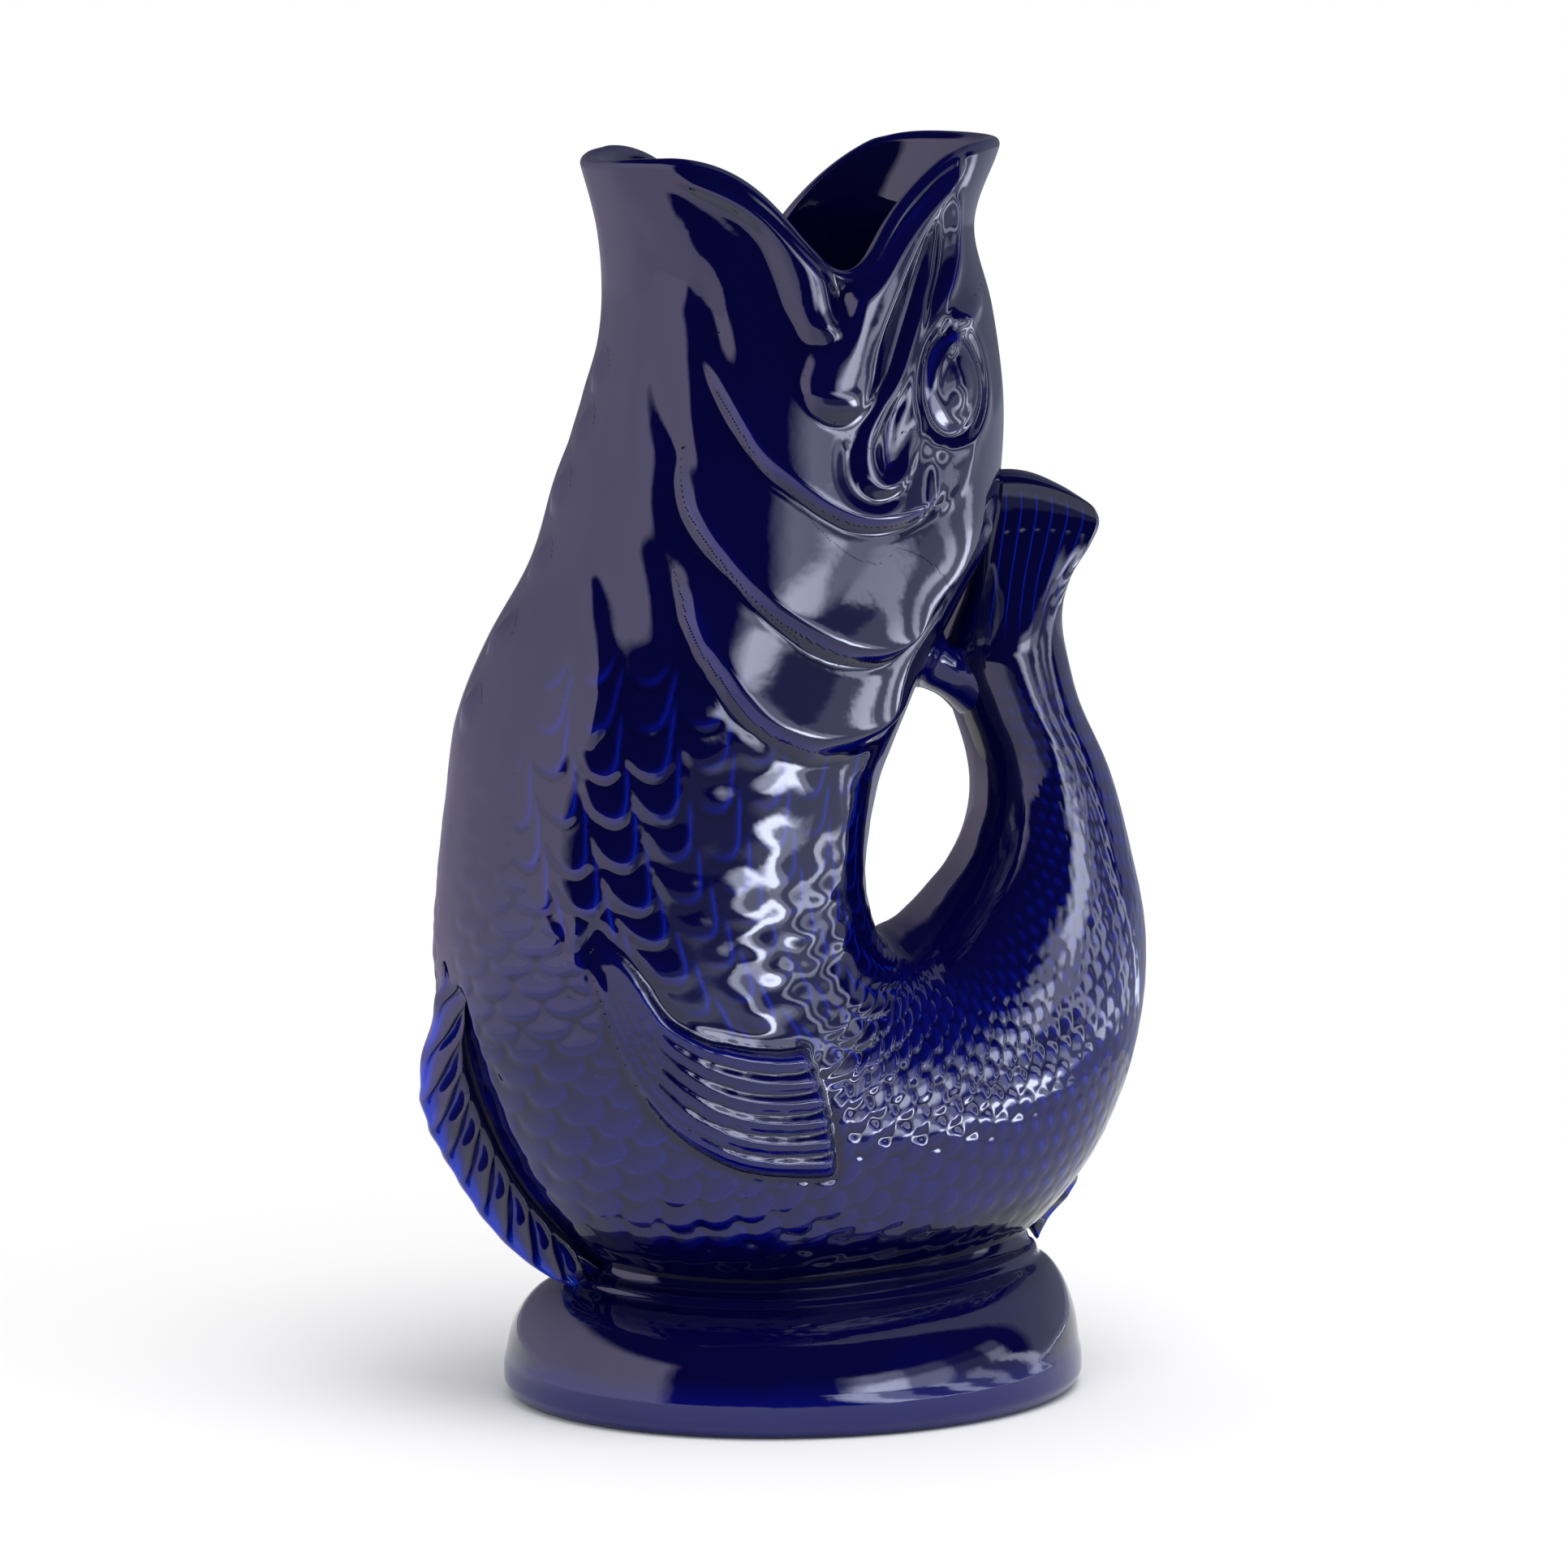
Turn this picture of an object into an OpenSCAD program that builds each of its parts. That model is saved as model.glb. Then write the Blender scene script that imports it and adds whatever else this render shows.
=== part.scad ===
// Fish-shaped gurgle jug in glazed earthenware.
// The fish stands on its foot with its open mouth up, and its tail curls up to be the handle.
// +X points to the tail, -X to the lower lip that pours, +Z up, and Y = 0 is the mirror plane.
// The origin is the centre of the foot, on the surface that the jug stands on.

/* [Jug] */
// Height of the lower lip above the table
jug_h = 244; // [200:1:290]
// Length from the front of the belly to the back of the tail
jug_l = 145; // [122:1:172]
// Width across the belly
jug_w = 80; // [68:1:96]
// Thickness of the cast wall
wall = 4; // [3:0.5:6]
// Clay slip between a casting and what is stuck on it
slip = 0.3; // [0.2:0.05:0.5]

/* [Mouth] */
// Depth of the corner of the mouth below the lower lip
notch_depth = 20.5; // [12:0.5:26]
// Rise of the upper lip above the lower lip
upper_rise = 3; // [1:0.5:8]
// Rise of the sides of the lower lip above its pouring tip
side_rise = 1.5; // [0:0.5:5]
// Width of the rolled lower lip
lip_w = 5; // [3:0.5:7]
// Width of the upper lip at its round end
upper_lip_w = 12; // [8:0.5:14]
// Thickness of the rolled lips
lip_t = 2.4; // [1:0.2:4]

/* [Head] */
// Thickness of the head plates at their free edge
plate_t = 2.6; // [1.2:0.2:4]
// Thickness of the head plates where they run out
plate_thin = 0.8; // [0.5:0.1:1]
// Width of an eye socket
eye_w = 15; // [10:0.5:18]
// Height of an eye socket
eye_h = 25; // [16:0.5:28]
// Height of the socket ring above the head
eye_ring_t = 2; // [1:0.2:3.5]
// Height of the eyeball above the head
eye_ball_t = 3; // [1.5:0.2:4.5]

/* [Foot] */
// Length of the foot
foot_l = 116; // [100:1:130]
// Width of the foot
foot_w = 102; // [88:1:112]
// Height of the widest line of the foot
foot_edge_h = 9; // [6:0.5:12]
// Thickness of the floor of the foot
foot_floor = 5; // [3:0.5:7]

/* [Fins] */
// Thickness of the belly fin at its root
belly_fin_t = 8; // [5:0.5:12]
// Thickness of the belly fin at its edge
belly_fin_edge = 3; // [2:0.5:5]
// Thickness of the rear fin
rear_fin_t = 5; // [3:0.5:8]
// Thickness of the tail fin along its outer edge
tail_fin_edge = 8; // [5:0.5:12]
// Thickness of a ray of the side fins
side_fin_t = 3.2; // [1.5:0.2:4.5]
// Number of rays on each side fin
side_fin_rays = 6; // [3:1:8]
// Number of rays on the belly fin
belly_fin_rays = 12; // [6:1:16]
// Height of the keel down the outside of the tail
keel_t = 1.2; // [0.8:0.2:2]
// Width of the keel
keel_w = 5; // [3:0.5:7]
// Width of the web that ties the tail to the head
web_w = 17; // [12:1:22]

/* [Hidden] */

// Glaze colours: the thick glaze and the thinner glaze on raised work
glaze = [0.04, 0.05, 0.32];
glaze_thin = [0.06, 0.10, 0.50];

// The fish is a row of oval stations from its mouth, round the belly and up the tail.
// Each row: belly line x, belly line height, back line x, back line height, half width.
// x is a share of jug_l, height of jug_h and half width of half of jug_w.
STATION_SHARES = [
    [-0.297, 1.000, 0.283, 1.000, 0.725],
    [-0.269, 0.939, 0.248, 0.943, 0.738],
    [-0.264, 0.874, 0.273, 0.878, 0.775],
    [-0.285, 0.809, 0.288, 0.809, 0.850],
    [-0.328, 0.744, 0.285, 0.748, 0.900],
    [-0.362, 0.679, 0.269, 0.695, 0.950],
    [-0.425, 0.614, 0.219, 0.638, 0.975],
    [-0.467, 0.553, 0.160, 0.577, 0.988],
    [-0.482, 0.488, 0.114, 0.516, 0.988],
    [-0.494, 0.423, 0.092, 0.463, 0.988],
    [-0.497, 0.358, 0.086, 0.423, 1.000],
    [-0.476, 0.280, 0.094, 0.394, 1.000],
    [-0.400, 0.183, 0.104, 0.376, 1.000],
    [-0.265, 0.103, 0.116, 0.370, 0.950],
    [-0.083, 0.060, 0.132, 0.370, 0.900],
    [0.131, 0.064, 0.147, 0.374, 0.850],
    [0.289, 0.104, 0.166, 0.380, 0.775],
    [0.394, 0.158, 0.185, 0.390, 0.713],
    [0.458, 0.220, 0.207, 0.404, 0.650],
    [0.495, 0.291, 0.234, 0.423, 0.575],
    [0.502, 0.362, 0.255, 0.447, 0.513],
    [0.480, 0.431, 0.265, 0.476, 0.450],
    [0.450, 0.496, 0.259, 0.508, 0.400],
    [0.407, 0.553, 0.238, 0.545, 0.363],
    [0.384, 0.606, 0.209, 0.589, 0.325]
];
// Stations where the head casting, the body casting and the tail casting end
head_end_station = 8;
body_end_station = 18;
last_station = len(STATION_SHARES) - 1;
// Facets round a ring, and rings per station
seg = 40;
head_rings = 16;
body_rings = 3;
tail_rings = 2;

// Sizes in millimetres of one station row
function row(i) =
    let (s = STATION_SHARES[i])
    [s[0] * jug_l, s[1] * jug_h, s[2] * jug_l, s[3] * jug_h, s[4] * jug_w / 2];
// The same row, carried on in a straight line past both ends of the table
function row_past(i) =
    i < 0 ? 2 * row(0) - row(-i)
    : i > last_station ? 2 * row(last_station) - row(2 * last_station - i)
    : row(i);
// A smooth curve through the rows, at any station t
function station(t) =
    let (
        i = max(0, min(last_station - 1, floor(t))),
        u = t - i,
        a = row_past(i - 1),
        b = row(i),
        c = row(i + 1),
        d = row_past(i + 2)
    )
    b + u * ((c - a) / 2 + u * ((2 * a - 5 * b + 4 * c - d) / 2 + u * (3 * b - a - 3 * c + d) / 2));
// The point of the skin at station t and angle a from the back line, set in by inset
function skin(t, a, inset = 0) =
    let (
        s = station(t),
        mid = [(s[0] + s[2]) / 2, 0, (s[1] + s[3]) / 2],
        half = [(s[2] - s[0]) / 2, 0, (s[3] - s[1]) / 2],
        k = (norm(half) - inset) / norm(half)
    )
    mid + half * (k * cos(a)) + [0, (s[4] - inset) * sin(a), 0];
// Directions along the fish and round it, per station and per degree, measured over a small step
step_share = 0.02;
function along(t, a) = (skin(t + step_share, a) - skin(t - step_share, a)) / (2 * step_share);
function around(t, a) = (skin(t, a + step_share) - skin(t, a - step_share)) / (2 * step_share);
function unit(v) = v / norm(v);
// The point that stands lift above the skin
function on_skin(t, a, lift) = skin(t, a) + lift * unit(cross(along(t, a), around(t, a)));

function spread(lo, hi, n) = [for (i = [0 : n]) lo + (hi - lo) * i / n];
function blend(p, q, k) = p + (q - p) * k;
// A place along a list of points, from 0 at its start to 1 at its end, rounded through them
function trace(pts, k) =
    let (
        n = len(pts) - 1,
        i = min(n - 1, floor(k * n)),
        u = k * n - i,
        b = pts[i],
        c = pts[i + 1],
        a = i > 0 ? pts[i - 1] : 2 * b - c,
        d = i + 2 <= n ? pts[i + 2] : 2 * c - b
    )
    b + u * ((c - a) / 2 + u * ((2 * a - 5 * b + 4 * c - d) / 2 + u * (3 * b - a - 3 * c + d) / 2));
function mean(pts) = pts * [for (p = pts) 1] / len(pts);
function centre(pts) = [for (k = [0 : 2]) mean([for (p = pts) p[k]])];

// A solid between rings of equal count. The last ring meets the first if looped, else both ends are capped.
module loft(rings, looped = false) {
    n = len(rings);
    m = len(rings[0]);
    last = looped ? n : n - 1;
    skin_faces = [
        for (i = [0 : last - 1], j = [0 : m - 1])
        let (
            a = i * m + j,
            b = i * m + (j + 1) % m,
            c = ((i + 1) % n) * m + (j + 1) % m,
            d = ((i + 1) % n) * m + j
        )
        each [[a, b, c], [a, c, d]]
    ];
    caps = looped ? [] : [
        for (j = [0 : m - 1])
        each [
            [n * m, (j + 1) % m, j],
            [n * m + 1, (n - 1) * m + j, (n - 1) * m + (j + 1) % m]
        ]
    ];
    ends = looped ? [] : [centre(rings[0]), centre(rings[n - 1])];
    polyhedron(concat([for (r = rings) each r], ends), concat(skin_faces, caps));
}

// A solid between two sheets, each a list of rows of points, closed round their edges
module slab(top, under) {
    n = len(top);
    m = len(top[0]);
    low = n * m;
    sheet_faces = [
        for (i = [0 : n - 2], j = [0 : m - 2])
        let (
            a = i * m + j,
            b = a + 1,
            c = a + m + 1,
            d = a + m
        )
        each [
            [a, c, b],
            [a, d, c],
            [low + a, low + b, low + c],
            [low + a, low + c, low + d]
        ]
    ];
    rim_path = concat(
        [for (j = [0 : m - 2]) j],
        [for (i = [0 : n - 2]) i * m + m - 1],
        [for (j = [m - 1 : -1 : 1]) (n - 1) * m + j],
        [for (i = [n - 1 : -1 : 1]) i * m]
    );
    wall_faces = [
        for (k = [0 : len(rim_path) - 1])
        let (
            a = rim_path[k],
            b = rim_path[(k + 1) % len(rim_path)]
        )
        each [[a, b, low + b], [a, low + b, low + a]]
    ];
    polyhedron(
        concat([for (r = top) each r], [for (r = under) each r]),
        concat(sheet_faces, wall_faces)
    );
}

// A pad stuck on the skin: places is a grid of [station, angle], thick the thickness at each place
module pad(places, thick) {
    slab(
        [for (i = [0 : len(places) - 1]) [
            for (j = [0 : len(places[i]) - 1]) on_skin(places[i][j][0], places[i][j][1], slip + thick[i][j])
        ]],
        [for (r = places) [for (p = r) on_skin(p[0], p[1], slip)]]
    );
}

// A dome stuck on the skin round a place, with its height at each share of its radius
module button(t, a, half_along, half_around, height_shares, height, steps = 16) {
    scale_t = half_along / norm(along(t, a));
    scale_a = half_around / norm(around(t, a));
    n = len(height_shares);
    function spot(i, j) = [
        t + scale_t * (1 - i / n) * cos(360 * j / steps),
        a + scale_a * (1 - i / n) * sin(360 * j / steps)
    ];
    tops = [for (i = [0 : n - 1]) [
        for (j = [0 : steps - 1])
        let (s = spot(i, j)) on_skin(s[0], s[1], slip + height * height_shares[i])
    ]];
    unders = [for (i = [n - 1 : -1 : 0]) [
        for (j = [0 : steps - 1])
        let (s = spot(i, j)) on_skin(s[0], s[1], slip)
    ]];
    loft(concat(unders, tops));
}

// A rounded strip stuck on the skin along a list of [station, angle], with its half width at each place
module strip(path, half_widths, height, steps = 12, across = 4) {
    // The far end is round over the last share of the length
    end_share = 0.15;
    function at(k) = trace(path, k);
    function half_width(k) =
        let (r = max(0, (k - 1 + end_share) / end_share))
        trace(half_widths, k) * sqrt(max(0.05, 1 - r * r));
    function side(k) =
        let (
            p = at(k),
            q = at(min(1, k + step_share)) - at(max(0, k - step_share)),
            len_t = norm(along(p[0], p[1])),
            len_a = norm(around(p[0], p[1])),
            d = unit([q[0] * len_t, q[1] * len_a])
        )
        [-d[1] / len_t, d[0] / len_a];
    grid = [for (k = spread(0, 1, steps)) [
        for (v = spread(-1, 1, across)) at(k) + side(k) * (v * half_width(k))
    ]];
    thick = [for (k = spread(0, 1, steps)) [
        for (v = spread(-1, 1, across)) blend(plate_thin, height, (1 - v * v) * min(1, 4 * k, 4 * (1 - k)))
    ]];
    pad(grid, thick);
}

// A plate stuck on the skin between an upper and a lower edge, thicker toward its lower edge
module plate(upper, lower, steps = 14, across = 6) {
    grid = [for (v = spread(0, 1, across)) [
        for (k = spread(0, 1, steps)) blend(trace(upper, k), trace(lower, k), v)
    ]];
    function swell(k, v) = sin(180 * min(0.5, v)) * (v < 1 ? 1 : 0.55) * min(1, 3 * k + 0.2, 3.2 - 3 * k);
    thick = [for (v = spread(0, 1, across)) [
        for (k = spread(0, 1, steps)) blend(plate_thin, plate_t, swell(k, v))
    ]];
    pad(grid, thick);
}

module other_side() {
    mirror([0, 1, 0]) children();
}

// Mouth: the rim runs down from both lips to a notch at each corner of the mouth.
// The angle of the corner of the mouth from the back line, and how wide the notch opens to each side
corner_a = 88;
lower_spread_a = 23.2;
upper_spread_a = 24.2;
pour_spread_a = 28;
lower_exponent = 1.85;
first_gap = (STATION_SHARES[0][1] - STATION_SHARES[1][1]) * jug_h;
function half_turn(a) = a <= 180 ? a : 360 - a;
function rim_rise(b) = b < corner_a ? upper_rise : side_rise * (1 - exp(-pow((180 - b) / pour_spread_a, 2)));
function notch(b) =
    b < corner_a
    ? exp(-pow((corner_a - b) / upper_spread_a, 2))
    : exp(-pow((b - corner_a) / lower_spread_a, lower_exponent));
// Height of the rim below the lower lip, and the station of the rim, at angle a
function rim_drop(a) = let (b = half_turn(a)) notch(b) * (notch_depth + rim_rise(b)) - rim_rise(b);
function rim_t(a) = rim_drop(a) / first_gap;
// A ring that is k of the way from the rim to the end of the head
function head_ring(k, inset) = [
    for (j = [0 : seg - 1])
    let (a = 360 * j / seg)
    skin(blend(rim_t(a), head_end_station, k), a, inset)
];
function ring(t, inset) = [for (j = [0 : seg - 1]) skin(t, 360 * j / seg, inset)];
// The rim is rounded: places of its rings as shares of its half thickness below the top
ROUND_SHARES = [[1, 0], [0.3, 0.15], [0, 0.5], [0.3, 0.85], [1, 1]];
rim_k = wall / 2 / (head_end_station * first_gap);

module head_shell() {
    color(glaze)
    loft(concat(
        [for (i = [head_rings : -1 : 1]) head_ring(i / head_rings, 0)],
        [for (s = ROUND_SHARES) head_ring(s[0] * rim_k, s[1] * wall)],
        [for (i = [1 : head_rings]) head_ring(i / head_rings, wall)]
    ), looped = true);
}

// A hollow length of the fish between two stations
module hollow(from, to, rings) {
    ts = spread(from, to, (to - from) * rings);
    loft(concat(
        [for (t = ts) ring(t, wall)],
        [for (i = [len(ts) - 1 : -1 : 0]) ring(ts[i], 0)]
    ), looped = true);
}

module body_shell() {
    color(glaze) hollow(head_end_station, body_end_station, body_rings);
}

module tail_handle() {
    color(glaze) hollow(body_end_station, last_station, tail_rings);
}

// Foot: an oval plinth whose top edge follows the underside of the body.
// The middle of the joint, its half length in stations and its half width as an angle
joint_station = 14.58;
joint_half_stations = 1.72;
joint_half_a = 47;
joint_in_share = 0.82;
foot_inset = wall + foot_edge_h / 2;
// The outline below the widest line: height share and size share
FOOT_SHARES = [[0, 0.88], [0.22, 0.94], [0.55, 0.985], [1, 1]];
// How far in and how far up each ring of the slope to the body is
SLOPE_SHARES = [[0.04, 0.23], [0.14, 0.43], [0.33, 0.61], [0.58, 0.76], [0.82, 0.88], [1, 1]];
function joint_point(a, share) =
    on_skin(joint_station + joint_half_stations * share * cos(a), 180 - joint_half_a * share * sin(a), slip);
function base_point(a, k, z, inset = 0) =
    [(foot_l / 2 * k - inset) * cos(a), (foot_w / 2 * k - inset) * sin(a), z];
function slope_point(a, s, inset, share) =
    let (
        p = base_point(a, 1, foot_edge_h, inset),
        q = joint_point(a, share)
    )
    [blend(p[0], q[0], s[0]), blend(p[1], q[1], s[0]), blend(p[2], q[2], s[1])];
function foot_angles() = [for (j = [0 : seg - 1]) 360 * j / seg];

module foot() {
    color(glaze)
    loft(concat(
        [for (s = FOOT_SHARES) [for (a = foot_angles()) base_point(a, s[1], s[0] * foot_edge_h)]],
        [for (s = SLOPE_SHARES) [for (a = foot_angles()) slope_point(a, s, 0, 1)]],
        [for (i = [len(SLOPE_SHARES) - 1 : -1 : 0]) [
            for (a = foot_angles()) slope_point(a, SLOPE_SHARES[i], foot_inset, joint_in_share)
        ]],
        [[for (a = foot_angles()) base_point(a, 1, foot_floor, foot_inset)]]
    ));
}

// Tail fin: a solid fan that grows out of the end of the tail and leans on the back of the head.
// Each row: station of the head that its inner edge leans on, outer edge x and height, half width share
FAN_SHARES = [
    [6.05, 0.387, 0.630, 0.86],
    [5.45, 0.402, 0.660, 0.66],
    [5.00, 0.437, 0.688, 0.52],
    [4.58, 0.433, 0.713, 0.46],
    [4.18, 0.372, 0.729, 0.40]
];
function fan_row(s) =
    let (back = on_skin(s[0], 0, slip))
    [s[1] * jug_l, s[2] * jug_h, back[0], back[2], max(tail_fin_edge / 2, s[3] * station(last_station)[4])];
function fan_ring(s) = [
    for (j = [0 : seg - 1])
    let (
        a = 360 * j / seg,
        r = fan_row(s),
        mid = [(r[0] + r[2]) / 2, 0, (r[1] + r[3]) / 2],
        half = [(r[2] - r[0]) / 2, 0, (r[3] - r[1]) / 2]
    )
    mid + half * cos(a) + [0, r[4] * sin(a), 0]
];

module tail_fin() {
    color(glaze_thin)
    loft(concat(
        [for (i = [len(FAN_SHARES) - 1 : -1 : 0]) fan_ring(FAN_SHARES[i])],
        [ring(last_station, 0)]
    ));
}

// Web: fills the narrow gap between the back of the head and the top of the tail, above the finger hole.
WEB_HEAD_STATIONS = [7.00, 6.35];
WEB_TAIL_STATIONS = [23.15, 23.85];
web_steps = 3;
module handle_web() {
    function half_a(t) = asin(web_w / 2 / station(t)[4]);
    sides = spread(-1, 1, 6);
    color(glaze)
    slab(
        [for (k = spread(0, 1, web_steps)) [
            for (v = sides)
            let (t = blend(WEB_TAIL_STATIONS[0], WEB_TAIL_STATIONS[1], k))
            on_skin(t, v * half_a(t), slip)
        ]],
        [for (k = spread(0, 1, web_steps)) [
            for (v = sides)
            let (t = blend(WEB_HEAD_STATIONS[0], WEB_HEAD_STATIONS[1], k))
            on_skin(t, v * half_a(t), slip)
        ]]
    );
}

// A fin in the middle plane: it grows from the belly line and its edge is a list of [x share, height share]
module middle_fin(root_stations, edge_shares, root_t, edge_t, rays, steps) {
    levels = spread(0, 1, 3);
    function face(k, v, y) =
        let (
            root = on_skin(blend(root_stations[0], root_stations[1], k), 180, slip),
            rim = trace(edge_shares, k),
            half = blend(root_t, edge_t, v) / 2,
            groove = rays > 0 ? 0.25 * (1 - cos(360 * rays * k)) / 2 * (1 - v / 2) : 0,
            p = blend(root, [rim[0] * jug_l, 0, rim[1] * jug_h], v)
        )
        [p[0], y * half * (1 - groove), p[2]];
    color(glaze_thin)
    slab(
        [for (v = levels) [for (k = spread(0, 1, steps)) face(k, v, -1)]],
        [for (v = levels) [for (k = spread(0, 1, steps)) face(k, v, 1)]]
    );
}

BELLY_EDGE_SHARES = [
    [-0.498, 0.365], [-0.510, 0.325], [-0.533, 0.272], [-0.524, 0.236], [-0.502, 0.210],
    [-0.475, 0.182], [-0.441, 0.152], [-0.397, 0.124], [-0.347, 0.102], [-0.298, 0.088]
];
BELLY_FIN_STATIONS = [10.15, 12.72];
module belly_fin() {
    steps = 3 * belly_fin_rays;
    middle_fin(BELLY_FIN_STATIONS, BELLY_EDGE_SHARES, belly_fin_t, belly_fin_edge, belly_fin_rays, steps);
}

REAR_EDGE_SHARES = [
    [0.405, 0.167], [0.413, 0.154], [0.402, 0.143],
    [0.382, 0.130], [0.364, 0.118], [0.357, 0.106]
];
REAR_FIN_STATIONS = [17.15, 16.40];
module rear_fin() {
    middle_fin(REAR_FIN_STATIONS, REAR_EDGE_SHARES, rear_fin_t, rear_fin_t, 0, 10);
}

// Keel: a low ridge down the outside of the tail
KEEL_PLACES = [[18.15, 180], [18.8, 180], [19.6, 180], [20.4, 180]];
KEEL_WIDTH_SHARES = [0.25, 0.5, 0.5, 0.25];
module tail_keel() {
    color(glaze_thin)
    strip(KEEL_PLACES, keel_w * KEEL_WIDTH_SHARES, keel_t, steps = 14, across = 4);
}

// Scutes: a row of low bosses down the throat, on the middle line
scute_h = 1.6;
scute_l = 5.5;
scute_w = 4;
SCUTE_STATIONS = [2.65, 3.35, 4.10, 4.95, 5.85, 6.75];
DOME_SHARES = [0.35, 0.8, 1];
module belly_scutes() {
    color(glaze_thin)
    for (t = SCUTE_STATIONS) {
        button(t, 180, scute_l, scute_w, DOME_SHARES, scute_h, steps = 12);
    }
}

// Lower lip: the rolled edge that runs down from the lip and ends in a round nub
LOWER_LIP_PLACES = [[0.46, 124], [0.70, 115], [1.05, 109], [1.45, 104.5], [1.90, 101]];
LOWER_LIP_WIDTH_SHARES = [0.3, 0.45, 0.5, 0.55, 0.4];
module lower_lip() {
    strip(LOWER_LIP_PLACES, lip_w * LOWER_LIP_WIDTH_SHARES, lip_t, steps = 14);
}
module lower_lip_right() {
    color(glaze_thin) lower_lip();
}
module lower_lip_left() {
    color(glaze_thin) other_side() lower_lip();
}

// Upper lip: a long drop that starts at the upper jaw and hangs to a round end at the corner of the mouth
UPPER_LIP_PLACES = [[0.30, 48], [0.90, 61], [1.60, 70], [2.25, 80], [2.90, 96]];
UPPER_LIP_WIDTH_SHARES = [0.12, 0.2, 0.28, 0.42, 0.45];
module upper_lip() {
    strip(UPPER_LIP_PLACES, upper_lip_w * UPPER_LIP_WIDTH_SHARES, lip_t, steps = 18, across = 6);
}
module upper_lip_right() {
    color(glaze) upper_lip();
}
module upper_lip_left() {
    color(glaze) other_side() upper_lip();
}

// Eye: a raised oval ring round a domed ball, as heights from the rim of the socket to its middle
eye_station = 2.80;
eye_a = 57;
EYE_SHARES = [0.3, 0.9, 0.95, 0.45, 0.45, 0.8, 1];
module eye() {
    ring_share = eye_ring_t / eye_ball_t;
    heights = [for (i = [0 : len(EYE_SHARES) - 1]) EYE_SHARES[i] * (i < 4 ? ring_share : 1)];
    button(eye_station, eye_a, eye_h / 2, eye_w / 2, heights, eye_ball_t, steps = 24);
}
module eye_right() {
    color(glaze) eye();
}
module eye_left() {
    color(glaze) other_side() eye();
}

// Brow: a ridge over the eye that runs up to the upper jaw
brow_w = 5;
BROW_PLACES = [[2.05, 40], [1.75, 50], [1.35, 54], [0.80, 44]];
BROW_WIDTH_SHARES = [0.3, 0.5, 0.4, 0.25];
module brow() {
    strip(BROW_PLACES, brow_w * BROW_WIDTH_SHARES, eye_ring_t, steps = 10);
}
module brow_right() {
    color(glaze_thin) brow();
}
module brow_left() {
    color(glaze_thin) other_side() brow();
}

// Head plates: three plates down each side, each one running out under the one above.
// Their free lower edges as places on the skin, [station, angle]
CHEEK_EDGE = [
    [1.75, 117], [2.60, 116], [3.45, 112], [4.05, 102],
    [4.37, 92], [4.53, 79], [4.42, 67], [4.25, 58]
];
CHEEK_TOP = [
    [1.75, 113], [2.45, 109], [3.10, 106], [3.55, 99],
    [3.65, 90], [3.60, 79], [3.95, 67], [4.10, 58]
];
GILL_EDGE = [
    [2.75, 129], [3.48, 123], [4.52, 115], [5.36, 102],
    [5.82, 90], [6.08, 76], [6.12, 60], [5.60, 51]
];
SHOULDER_EDGE = [
    [5.30, 120], [6.12, 112], [6.69, 99], [7.04, 89],
    [7.35, 75], [7.42, 61], [7.30, 48], [6.70, 42]
];
GILL_TOP = [
    [2.75, 123], [3.50, 115.5], [4.16, 104.5], [4.37, 97],
    [4.54, 90], [4.63, 79], [4.52, 67], [4.35, 54]
];
SHOULDER_TOP = [
    [5.25, 113], [5.58, 102.5], [5.80, 95], [6.02, 88],
    [6.18, 76], [6.23, 65], [6.20, 57], [5.95, 49]
];
module cheek_plate() {
    plate(CHEEK_TOP, CHEEK_EDGE);
}
module cheek_plate_right() {
    color(glaze) cheek_plate();
}
module cheek_plate_left() {
    color(glaze) other_side() cheek_plate();
}
module gill_cover() {
    plate(GILL_TOP, GILL_EDGE);
}
module gill_cover_right() {
    color(glaze) gill_cover();
}
module gill_cover_left() {
    color(glaze) other_side() gill_cover();
}
module shoulder_plate() {
    plate(SHOULDER_TOP, SHOULDER_EDGE);
}
module shoulder_plate_right() {
    color(glaze) shoulder_plate();
}
module shoulder_plate_left() {
    color(glaze) other_side() shoulder_plate();
}

// Side fin: rays that sweep back along the flank from one root
FIN_TOP = [[9.55, 119], [10.40, 108.5], [11.25, 98], [11.65, 86], [11.96, 75]];
FIN_LOW = [[9.75, 121], [10.79, 117], [12.12, 112.5], [12.98, 104], [13.54, 97]];
module side_fin() {
    steps_along = 10;
    steps_across = 4 * side_fin_rays;
    function ray(v) = 0.35 + 0.65 * abs(sin(180 * side_fin_rays * v));
    grid = [for (v = spread(0, 1, steps_across)) [
        for (k = spread(0, 1, steps_along)) blend(trace(FIN_TOP, k), trace(FIN_LOW, k), v)
    ]];
    thick = [for (v = spread(0, 1, steps_across)) [
        for (k = spread(0, 1, steps_along)) side_fin_t * ray(v) * (0.5 + 0.5 * k)
    ]];
    pad(grid, thick);
}
module side_fin_right() {
    color(glaze_thin) side_fin();
}
module side_fin_left() {
    color(glaze_thin) other_side() side_fin();
}

foot();
body_shell();
head_shell();
tail_handle();
tail_fin();
handle_web();
belly_fin();
rear_fin();
tail_keel();
belly_scutes();
lower_lip_left();
lower_lip_right();
upper_lip_left();
upper_lip_right();
eye_left();
eye_right();
brow_left();
brow_right();
cheek_plate_left();
cheek_plate_right();
gill_cover_left();
gill_cover_right();
shoulder_plate_left();
shoulder_plate_right();
side_fin_left();
side_fin_right();
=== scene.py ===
"""The looks of the fish-shaped gurgle jug: cobalt glaze over modelled clay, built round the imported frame.

Lengths are in millimetres until a mesh is made. A place on the fish is a station t from the mouth
to the tip of the tail and an angle a from the back line, as in the part's source.
"""
import math

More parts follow.
